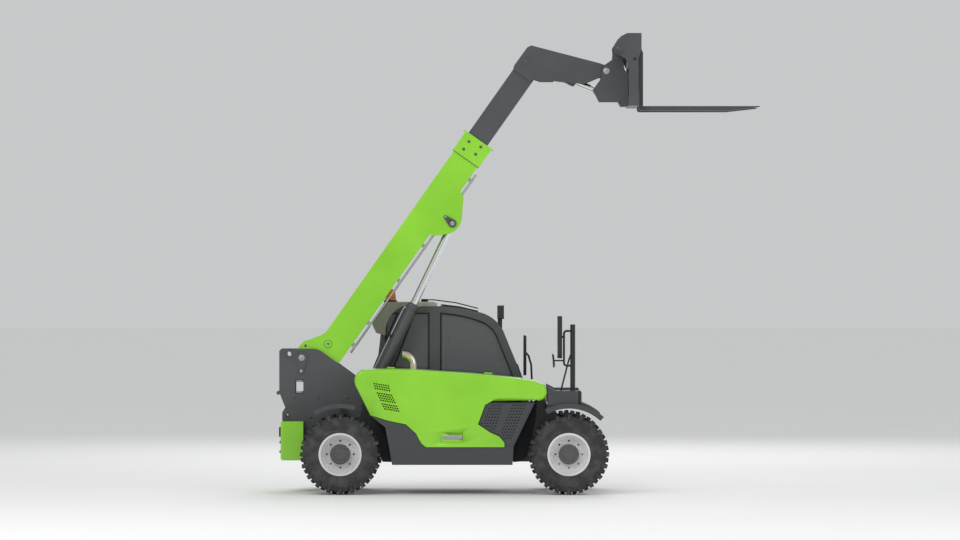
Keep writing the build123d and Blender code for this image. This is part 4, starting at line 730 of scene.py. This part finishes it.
# %% Pin keepers, rings and bolts
BOOM_SIDE, COLLAR_SIDE, BRACKET_SIDE = 0.115, 0.130, 0.1252     # metres out from the boom's middle plane
TOWER_SIDE, TOWER_BOSS, HEAD_SIDE, HITCH_SIDE = 0.160, 0.172, 0.115, 0.145
KEEPER = 0.006               # how thick the lift pin's keeper is
NIPPLE_R = 0.005             # radius of the grease nipple in a pin's end
LIFT_EYE, KEEPER_LOBE = (2.070, -0.480), (2.08296, -0.384)      # along the boom and above its foot pin
for hand, label in ((-1, "right"), (1, "left")):
    out = Vector((0, hand, 0))
    shape = bmesh.new()
    for along, above in ((2.873, -0.126), (2.777, -0.126), (2.899, -0.260), (2.806, -0.260)):
        bolt(shape, on_boom(along, above, hand * COLLAR_SIDE), out, 0.0115)
    place_piece("collar_bolts_" + label, shape, frame_enamel, "boom_outer", 0.0008)
    shape = bmesh.new()
    seam = ((2.703, -0.037), (2.709, -0.037), (2.709, -0.367), (2.703, -0.367))
    pushed(shape, [on_boom(*corner, hand * COLLAR_SIDE) for corner in seam], out * 0.0015)
    place_piece("collar_seam_" + label, shape, frame_enamel, "boom_outer", 0.0005)
    shape = bmesh.new()
    for place_at, radius in ((LIFT_EYE, 0.044), (KEEPER_LOBE, 0.019)):
        centre = on_boom(*place_at, hand * BRACKET_SIDE)
        rod(shape, centre, centre + out * KEEPER, radius, 32)
    web = ((2.030, -0.462), (2.064, -0.378), (2.101, -0.378), (2.110, -0.462))
    pushed(shape, [on_boom(*corner, hand * BRACKET_SIDE) for corner in web], out * KEEPER)
    place_piece("lift_pin_keeper_" + label, shape, frame_enamel, "boom_outer", 0.001)
    shape = bmesh.new()
    bolt(shape, on_boom(2.083, -0.384, hand * (BRACKET_SIDE + KEEPER)), out, 0.008)
    low, step, tip = (on_boom(*LIFT_EYE, hand * y) for y in (BRACKET_SIDE + KEEPER, 0.1330, 0.1400))
    rod(shape, low, step, 0.022, 32)
    rod(shape, step, tip, NIPPLE_R, 12, NIPPLE_R / 2)
    place_piece("lift_pin_end_" + label, shape, zinc_steel, "boom_outer", 0.0006)
    shape = bmesh.new()
    ring = ((TOWER_SIDE - 0.001, 0.0255), (TOWER_SIDE - 0.001, 0.042), (TOWER_SIDE + 0.006, 0.042),
            (TOWER_SIDE + 0.006, 0.0255))
    spun(shape, ring, 48, at(-556, 1455, -60), out)
    spun(shape, [(along, radius * 0.64) for along, radius in ring], 40, at(-572, 808, -60), out)
    place_piece("tower_eye_rings_" + label, shape, frame_enamel, "chassis", 0.0012)
    shape = bmesh.new()
    foot_end = foot_pin + out * TOWER_BOSS
    bolt(shape, foot_end + Vector((-0.004, 0, -0.140)), out, 0.012)
    rod(shape, foot_end - out * 0.001, foot_end + out * 0.005, 0.032, 40)
    rod(shape, foot_end + out * 0.005, foot_end + out * 0.013, NIPPLE_R, 12, NIPPLE_R / 2)
    place_piece("foot_pin_end_" + label, shape, zinc_steel, "chassis", 0.0008)
    shape = bmesh.new()
    tower_bolts = ((-330, 790), (60, 790), (190, 800), (-560, 800), (-500, 1000), (-250, 1000), (60, 1000))
    rail_bolts = ((560, 600), (760, 600), (1560, 600), (1760, 600))
    for radius, places in ((0.011, tower_bolts), (0.010, rail_bolts)):
        for seat_at in side_outline(-60, places):
            bolt(shape, seat_at + out * TOWER_SIDE, out, radius)
    place_piece("tower_bolts_" + label, shape, frame_enamel, "chassis", 0.0008)
    shape = bmesh.new()
    tilt_base = Vector(joints["tilt_barrel_swing"]["pos_m"])
    tilt_base.y = boom_y
    spun(shape, ((HEAD_SIDE - 0.001, 0.038), (HEAD_SIDE - 0.001, 0.054), (HEAD_SIDE + 0.005, 0.054),
                 (HEAD_SIDE + 0.005, 0.038)), 40, tilt_base, out)
    rod(shape, tilt_base + out * HEAD_SIDE, tilt_base + out * (HEAD_SIDE + 0.003), 0.030, 36)
    place_piece("tilt_pin_boss_" + label, shape, frame_enamel, "boom_inner", 0.0008)
    shape = bmesh.new()
    tip = Vector((hitch_pin.x, boom_y, hitch_pin.z)) + out * HITCH_SIDE
    rod(shape, tip - out * 0.001, tip + out * 0.005, 0.034, 36)
    bolt(shape, tip + out * 0.005, out, 0.011)
    place_piece("hitch_pin_end_" + label, shape, zinc_steel, "boom_inner", 0.0008)
    shape = bmesh.new()
    bolt(shape, Vector((hitch_pin.x + 0.130, hand * 0.520, hitch_pin.z + 0.215)), out, 0.032)
    place_piece("shaft_nut_" + label, shape, frame_enamel, "carriage", 0.001)

shape = bmesh.new()
for low, high in ((1160, 1186), (1044, 1062)):
    pushed(shape, side_outline(75, ((-484, low), (-410, low), (-410, high), (-484, high))),
           side_push * 0.270)
place_piece("tower_window_bars", shape, zinc_steel, "chassis", 0.003)

shape = bmesh.new()
for hand in (-1, 1):
    out = Vector((0, hand, 0))
    rod(shape, on_boom(0.126, 0.041, hand * BOOM_SIDE), on_boom(0.126, 0.041, hand * 0.1165), 0.014, 24)
    boss = on_boom(0.280, -0.141, 0)
    spun(shape, ((0.120, 0.036), (0.120, 0.041), (0.1245, 0.041), (0.1245, 0.036)), 36, boss, out)
    bolt(shape, boss + out * 0.123, out, 0.009)
place_piece("boom_foot_fittings", shape, frame_enamel, "boom_outer", 0.0006)

# %% [markdown]
# ## Wheel arch liners
# Behind each right-hand wheel a black sheet closes the gap between the pod and the frame, and keeps mud off
# the engine. It stands well inboard of the tyres, which need room to steer.

# %% Close the arches beside the pod
shape = bmesh.new()
front_liner = ((1806, 318), (1880, 326), (1925, 352), (1952, 398), (1968, 470), (2010, 640), (2045, 820),
               (2050, 972), (2027, 968), (1806, 502))
rear_liner = ((190, 745), (230, 985), (312, 830), (328, 813), (468, 700), (510, 491), (538, 320),
              (430, 322), (360, 500), (300, 600))
for liner in (front_liner, rear_liner):
    pushed(shape, side_outline(-254, liner), side_push * 0.006)
place_piece("arch_liners", shape, trim_plastic, "chassis", 0.0015)

# %% [markdown]
# ## Cylinders
# A cylinder's rod leaves through a screwed gland, a collar a little wider than the tube, with a rubber wiper
# lip. Two steel pipes run along the lift cylinder's back, held by two clamps, and feed its far end.

# %% Glands, wipers and pipes
for label, barrel_joint, slide, length, tube_r, rod_r, pipe_spread in (
        ("lift", "lift_barrel_swing", "lift_rod_slide", 1.453, 0.0625, 0.040, 0.024),
        ("tilt", "tilt_barrel_swing", "tilt_rod_slide", 0.560, 0.052, 0.030, 0.0)):
    base = Vector(joints[barrel_joint]["pos_m"])
    base.y = boom_y
    aim = Vector(joints[slide]["axis"]).normalized()
    body = label + "_barrel"
    back = Vector((-aim.z, 0, aim.x))
    shape = bmesh.new()
    spun(shape, ((length - 0.060, tube_r - 0.001), (length - 0.060, tube_r + 0.0045),
                 (length - 0.006, tube_r + 0.0045), (length + 0.003, tube_r - 0.004),
                 (length + 0.003, rod_r + 0.0014), (length - 0.010, rod_r + 0.0014)), 48, base, aim)
    place_piece(label + "_gland", shape, frame_enamel, body, 0.0012)
    shape = bmesh.new()
    spun(shape, ((length - 0.004, rod_r + 0.0007), (length - 0.004, rod_r + 0.0090),
                 (length + 0.006, rod_r + 0.0075), (length + 0.008, rod_r + 0.0007)), 40, base, aim)
    place_piece(label + "_wiper_lip", shape, hose_rubber, body, 0.0008)
    if pipe_spread:
        shape = bmesh.new()
        lane = tube_r + 0.013
        for hand in (-1, 1):
            shift = Vector((0, hand * pipe_spread, 0))
            points = [base + aim * s + back * h + shift
                      for s, h in ((0.150, tube_r - 0.012), (0.158, lane - 0.006), (0.170, lane),
                                   (0.185, lane), (0.700, lane), (length - 0.090, lane),
                                   (length - 0.072, lane - 0.004), (length - 0.062, tube_r - 0.010))]
            bent_pipe(shape, points, 0.0075, 14)
        place_piece(label + "_feed_pipes", shape, zinc_steel, body, sharp=50)
        shape = bmesh.new()
        for station in (0.420, 1.050):
            middle = base + aim * station + back * (lane - 0.012)
            corner_points = [middle + Vector((0, y, 0)) + aim * s
                             for y, s in ((-0.040, -0.018), (0.040, -0.018), (0.040, 0.018), (-0.040, 0.018))]
            pushed(shape, corner_points, back * 0.024)
            bolt(shape, middle + back * 0.024, back, 0.005)
        place_piece(label + "_pipe_clamps", shape, trim_plastic, body, 0.002)

# %% [markdown]
# ## Lamps and mirrors
# A lamp reads as a lamp because of its bezel, the dark ring that holds the lens. The mirrors are plastic
# heads with silvered glass let into the face that looks back at the driver.

# %% Headlamp bezels, tail lamps, work lamp lenses and mirror heads
shape = bmesh.new()
for y in (-730, 730):
    ringed(shape, end_face(2478, y, 112, 940, 1080), 0.014, Vector((0.030, 0, 0)))
place_piece("headlamp_bezels", shape, trim_plastic, "chassis", 0.003)

lamp_rows = (                # name, lens finish, middles, bezel as for end_face, its depth, lens, its depth
    ("tail_lamp", red_lens, (-330, 330), (-636, 71, 589, 691), -0.016, (-637, 60, 600, 680), -0.017,
     (0.002, 0.004)),
    ("work_lamp", lamp_lens, (190, 815), (1703, 47, 1818, 1962), 0.006, (1700, 38, 1828, 1952), 0.007,
     (0.0015, 0.002)),
)
for name, glass, middles, bezel, bezel_depth, pane, pane_depth, bevels in lamp_rows:
    shape, glow = bmesh.new(), bmesh.new()
    for y in middles:
        ringed(shape, end_face(bezel[0], y, *bezel[1:]), 0.010, Vector((bezel_depth, 0, 0)))
        pushed(glow, end_face(pane[0], y, *pane[1:]), Vector((pane_depth, 0, 0)))
    place_piece(name + "_bezels", shape, trim_plastic, "chassis", bevels[0])
    place_piece(name + "_lenses", glow, glass, "chassis", bevels[1])

shape, silver = bmesh.new(), bmesh.new()
MAST_Y, LEFT_ARM_Y = -760.0, 790.0
bent_pipe(shape, side_outline(MAST_Y, ((2294, 1060), (2310, 1130), (2380, 1400), (2403, 1460))),
          0.009)
rod(shape, at(2330, 1395, MAST_Y), at(2228, 1395, MAST_Y), 0.008)
rod(shape, at(2232, 1395, MAST_Y), at(2212, 1393, MAST_Y), 0.060, 40, 0.079)
rod(silver, at(2212.5, 1393, MAST_Y), at(2210.5, 1393, MAST_Y), 0.072, 40)
pushed(silver, [at(2262, z, MAST_Y + w) for w, z in
                ((-84, 1450), (-60, 1432), (60, 1432), (84, 1450), (84, 1828), (60, 1848), (-60, 1848),
                 (-84, 1828))], Vector((-0.002, 0, 0)))
pushed(shape, side_outline(LEFT_ARM_Y + 95, ((1920, 1209), (1952, 1215), (1952, 1636), (1920, 1642))),
       side_push * 0.190)
pushed(silver, end_face(1920, LEFT_ARM_Y, 84, 1222, 1629), Vector((-0.002, 0, 0)))
bent_pipe(shape, side_outline(LEFT_ARM_Y, ((1975, 885), (2010, 950), (2015, 1000), (2010, 1170), (2003, 1326),
                                           (1975, 1420), (1940, 1461))), 0.011)
place_piece("mirror_heads", shape, trim_plastic, "chassis", 0.004, sharp=40)
place_piece("mirror_silver", silver, mirror_glass, "chassis", 0.0006)

shape = bmesh.new()
beacon_foot = at(505, 2001, 300)
spun(shape, ((-0.002, 0.010), (-0.002, 0.072), (0.008, 0.072), (0.018, 0.066), (0.018, 0.010)), 48,
     beacon_foot, (0, 0, 1))
place_piece("beacon_base", shape, trim_plastic, "chassis", 0.002)

# %% [markdown]
# ## Cab: seals, wipers, roof cheeks and controls
# A rubber seal a finger wide frames the side panes. The roof moulding folds down over the cab's sides at the
# rear. Inside, a soft rim covers the steering wheel's ring and two levers stand on the right of the seat.

# %% Window seals and roof cheeks
side_window = [(1033, 1060), (1033, 1888)] + bow((1033, 1888), (1244, 1862), (1430, 1812)) \
    + bow((1430, 1812), (1570, 1735), (1650, 1610)) + [(1809, 1215), (1853, 1060)]
quarter_window = [(545, 1100), (545, 1330), (758, 1888), (921, 1888), (921, 1100)]
rear_light = [(450, 1560), (592, 1888), (470, 1888), (450, 1660)]
shape = bmesh.new()
for y, push, windows in ((118, 0.003, (side_window, quarter_window, rear_light)),
                         (887, -0.003, (quarter_window, rear_light))):
    for window in windows:
        ringed(shape, side_outline(y, window), 0.014, Vector((0, push, 0)))
place_piece("window_seals", shape, seal_rubber, "chassis", 0.0008)

cheek = [(404, 1660), (456, 1647)] + bow((456, 1647), (493, 1830), (632, 1953)) \
    + [(990, 1955), (1000, 1985), (960, 2000), (445, 2000), (315, 1790), (323, 1735), (362, 1671)]
shape = bmesh.new()
for y in (114, 871):
    pushed(shape, side_outline(y, cheek), side_push * -0.020)
place_piece("roof_cheeks", shape, roof_plastic, "chassis", 0.003)

shape = bmesh.new()
pushed(shape, side_outline(540, ((822, 2000), (905, 2000), (895, 2030), (832, 2030))),
       side_push * 0.080)
pushed(shape, side_outline(420, ((1965, 905), (1985, 905), (1972, 960), (1958, 960))), side_push * -0.060)
for y, radius, points in (
        (500, 0.006, ((862, 2020), (960, 2022), (1200, 1990), (1434, 1930))),
        (500, 0.008, ((1040, 1968), (1240, 1944), (1434, 1898))),
        (440, 0.006, ((1968, 940), (1925, 1130), (1850, 1340))),
        (440, 0.008, ((1893, 1200), (1830, 1360), (1760, 1530)))):
    bent_pipe(shape, side_outline(y, points), radius)
place_piece("wipers", shape, seal_rubber, "chassis", 0.0008)

# %% Steering wheel rim, levers and door handle
CAB_MID = 502.5              # the cab's middle plane, in mm
GRIP_R, GRIP_CIRCLE = 0.017, 0.1725
shape = bmesh.new()
grip = [(0.012 + GRIP_R * sin(turn), GRIP_CIRCLE + GRIP_R * cos(turn))
        for turn in (step * pi / 6 for step in range(12))]
spun(shape, grip, 48, at(1590, 1277, CAB_MID), Vector((-0.5, 0, 0.866)))
place_piece("steering_grip", shape, seal_rubber, "chassis")
shape = bmesh.new()
pushed(shape, side_outline(240, ((640, 820), (1120, 840), (1150, 900), (1110, 960), (640, 930))),
       side_push * 0.080)
for x, lean in ((1030, 20), (1090, 30)):
    rod(shape, at(x, 930, 200), at(x + lean, 1075, 200), 0.007, 14)
    bmesh.ops.create_uvsphere(shape, u_segments=18, v_segments=12, radius=0.022,
                              matrix=Matrix.Translation(at(x + lean, 1085, 200)))
place_piece("side_levers", shape, trim_plastic, "chassis", 0.004)
shape = bmesh.new()
HANDLE_LEAN, HALF_LENGTH, HALF_WIDTH = radians(100), 0.065, 0.013
along = Vector((cos(HANDLE_LEAN), 0, sin(HANDLE_LEAN))) * HALF_LENGTH
across = Vector((-sin(HANDLE_LEAN), 0, cos(HANDLE_LEAN))) * HALF_WIDTH
chamfered = ((-1, -0.6), (-0.9, -1), (0.9, -1), (1, -0.6), (1, 0.6), (0.9, 1), (-0.9, 1), (-1, 0.6))
pushed(shape, [at(1815, 1010, 885) + along * a + across * b for a, b in chamfered], side_push * -0.016)
place_piece("door_handle", shape, trim_plastic, "cab_door", 0.003)

# %% [markdown]
# ## Mudguards, hinges and the counterweight
# A rolled bead stiffens the mudguards' outer edges and catches the light along their top. The hood turns in
# knuckles on its inner edge.

# %% Rolled beads, hood hinges and counterweight bolts
shape = bmesh.new()
for corner, radius, start, end in (("front_right", 0.526, 47, 118), ("front_left", 0.526, 47, 118),
                                   ("rear_right", 0.522, 72, 122), ("rear_left", 0.522, 72, 122)):
    hub_at = wheel_centres[corner]
    middle = Vector((hub_at.x, 0.888 if hub_at.y > 0 else -0.888, hub_at.z))
    turns = [radians(start + (end - start) * step / 24) for step in range(25)]
    for inset in (0.0, 0.013, 0.026):
        bent_pipe(shape, [middle + Vector((cos(t), 0, sin(t))) * (radius - inset) for t in turns],
                  0.0065 - inset * 0.12, 10)
place_piece("mudguard_beads", shape, guard_plastic, "chassis", sharp=60)

hinge_line = Vector(joints["hood_lift"]["axis"]).normalized()
if hinge_line.x < 0:
    hinge_line = -hinge_line
hinge_at = Vector(joints["hood_lift"]["pos_m"])
fixed, moving = bmesh.new(), bmesh.new()
for station in (480, 1500):
    start = hinge_at + hinge_line * ((at(station, 0, 0).x - hinge_at.x) / hinge_line.x)
    rod(fixed, start, start + hinge_line * 0.040, 0.009, 24)
    rod(moving, start + hinge_line * 0.042, start + hinge_line * 0.082, 0.009, 24)
place_piece("hinge_knuckles_fixed", fixed, panel_green, "chassis", 0.001)
place_piece("hinge_knuckles_moving", moving, panel_green, "hood", 0.001)

shape = bmesh.new()
for y in (-330, -110, 110, 330):
    for z in (430, 530):
        bolt(shape, at(-636, z, y), (-1, 0, 0), 0.014)
place_piece("counterweight_bolts", shape, frame_enamel, "chassis", 0.0008)

# %% [markdown]
# ## Seat
# The seat is foam under cloth. Its plain solid is remeshed into even faces, blown up a little by a cloth
# simulation with no gravity, and held to a few millimetres of its first shape, so that it plumps without
# growing. The remesh is 12 mm here, because the seat is large and one subdivision follows it.

# %% Plump the cushion and the backrest
PLUMP_LIMIT = 0.012          # metres that any point may move
VOXEL = 0.012
seat_shape = copy_of(frame["nodes"]["seat"].data, weld=True)
seat = place_piece("seat_cushion", seat_shape, seat_cloth, "chassis", sharp=180)
even = seat.modifiers.new("even", "REMESH")
even.mode, even.voxel_size = "VOXEL", VOXEL
remeshed = bpy.data.meshes.new_from_object(seat.evaluated_get(bpy.context.evaluated_depsgraph_get()))
seat.modifiers.clear()
seat.data = remeshed
for face in remeshed.polygons:
    face.use_smooth = True
still = [vert.co.copy() for vert in seat.data.vertices]
cloth = seat.modifiers.new("cloth", "CLOTH")
cloth.settings.use_pressure = True
cloth.settings.uniform_pressure_force = 4.0
cloth.settings.effector_weights.gravity = 0.0
for step in range(1, 21):
    bpy.context.scene.frame_set(step)
plumped = seat.evaluated_get(bpy.context.evaluated_depsgraph_get()).to_mesh()
moved = [vert.co.copy() for vert in plumped.vertices]
seat.modifiers.clear()
bpy.context.scene.frame_set(1)
for vert, first, last in zip(seat.data.vertices, still, moved):
    step = last - first
    vert.co = first + step * min(1.0, PLUMP_LIMIT / max(step.length, 1e-9))
print("seat plumped by up to", round(max((b - a).length for a, b in zip(still, moved)), 4))
smooth_seat = seat.modifiers.new("smooth", "SUBSURF")
smooth_seat.levels = smooth_seat.render_levels = 1
seat.data.materials.clear()
seat.data.materials.append(seat_cloth)
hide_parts("seat")
print("seat has", len(seat.data.polygons), "faces before its subdivision")

# %% [markdown]
# ## Floor and light
# A pale floor with three large soft lamps is a small studio: the key from the front, the fill from behind the
# camera and a rim lamp on the far side, so that the machine also reads well from the back.

# %% A wide pale floor
FLOOR_R = 160                # metres, far enough for its edge to be the horizon
floor_shape = bmesh.new()
bmesh.ops.create_circle(floor_shape, cap_ends=True, segments=96, radius=FLOOR_R)
floor = as_object("studio_floor", as_mesh("studio_floor", floor_shape))
floor_paint, shader, place = start_finish("floor_paint", "#FAFAF9", Roughness=0.75)
floor_tone = shade(noise(place, 0.6, 2.0), "#F9F9F8", "#FDFDFC")
feed(shader, "Base Color", floor_tone)
floor.data.materials.append(floor_paint)
world = bpy.data.worlds.new("pale_room")
world.use_nodes = True
sky = world.node_tree.nodes["Background"].inputs
sky["Color"].default_value, sky["Strength"].default_value = linear("#E4E5E6"), 0.74
bpy.context.scene.world = world
print("floor radius", FLOOR_R, "m")

# %% Three large soft lamps
AIM = Vector((0, 0, 1.6))
lamps = (                    # name, place, power in watts, size in metres
    ("key_lamp", (-7.0, -13.0, 11.0), 760, 6.0),
    ("fill_lamp", (9.0, -12.0, 6.0), 300, 8.0),
    ("rim_lamp", (1.0, 13.0, 10.0), 520, 8.0),
)
for name, place_at, power, size in lamps:
    lamp = bpy.data.lights.new(name, "AREA")
    lamp.energy = power
    lamp.size = size
    stand = as_object(name, lamp)
    stand.location = place_at
    stand.rotation_euler = (AIM - Vector(place_at)).to_track_quat("-Z", "Y").to_euler()
print("lamps:", [row[0] for row in lamps])
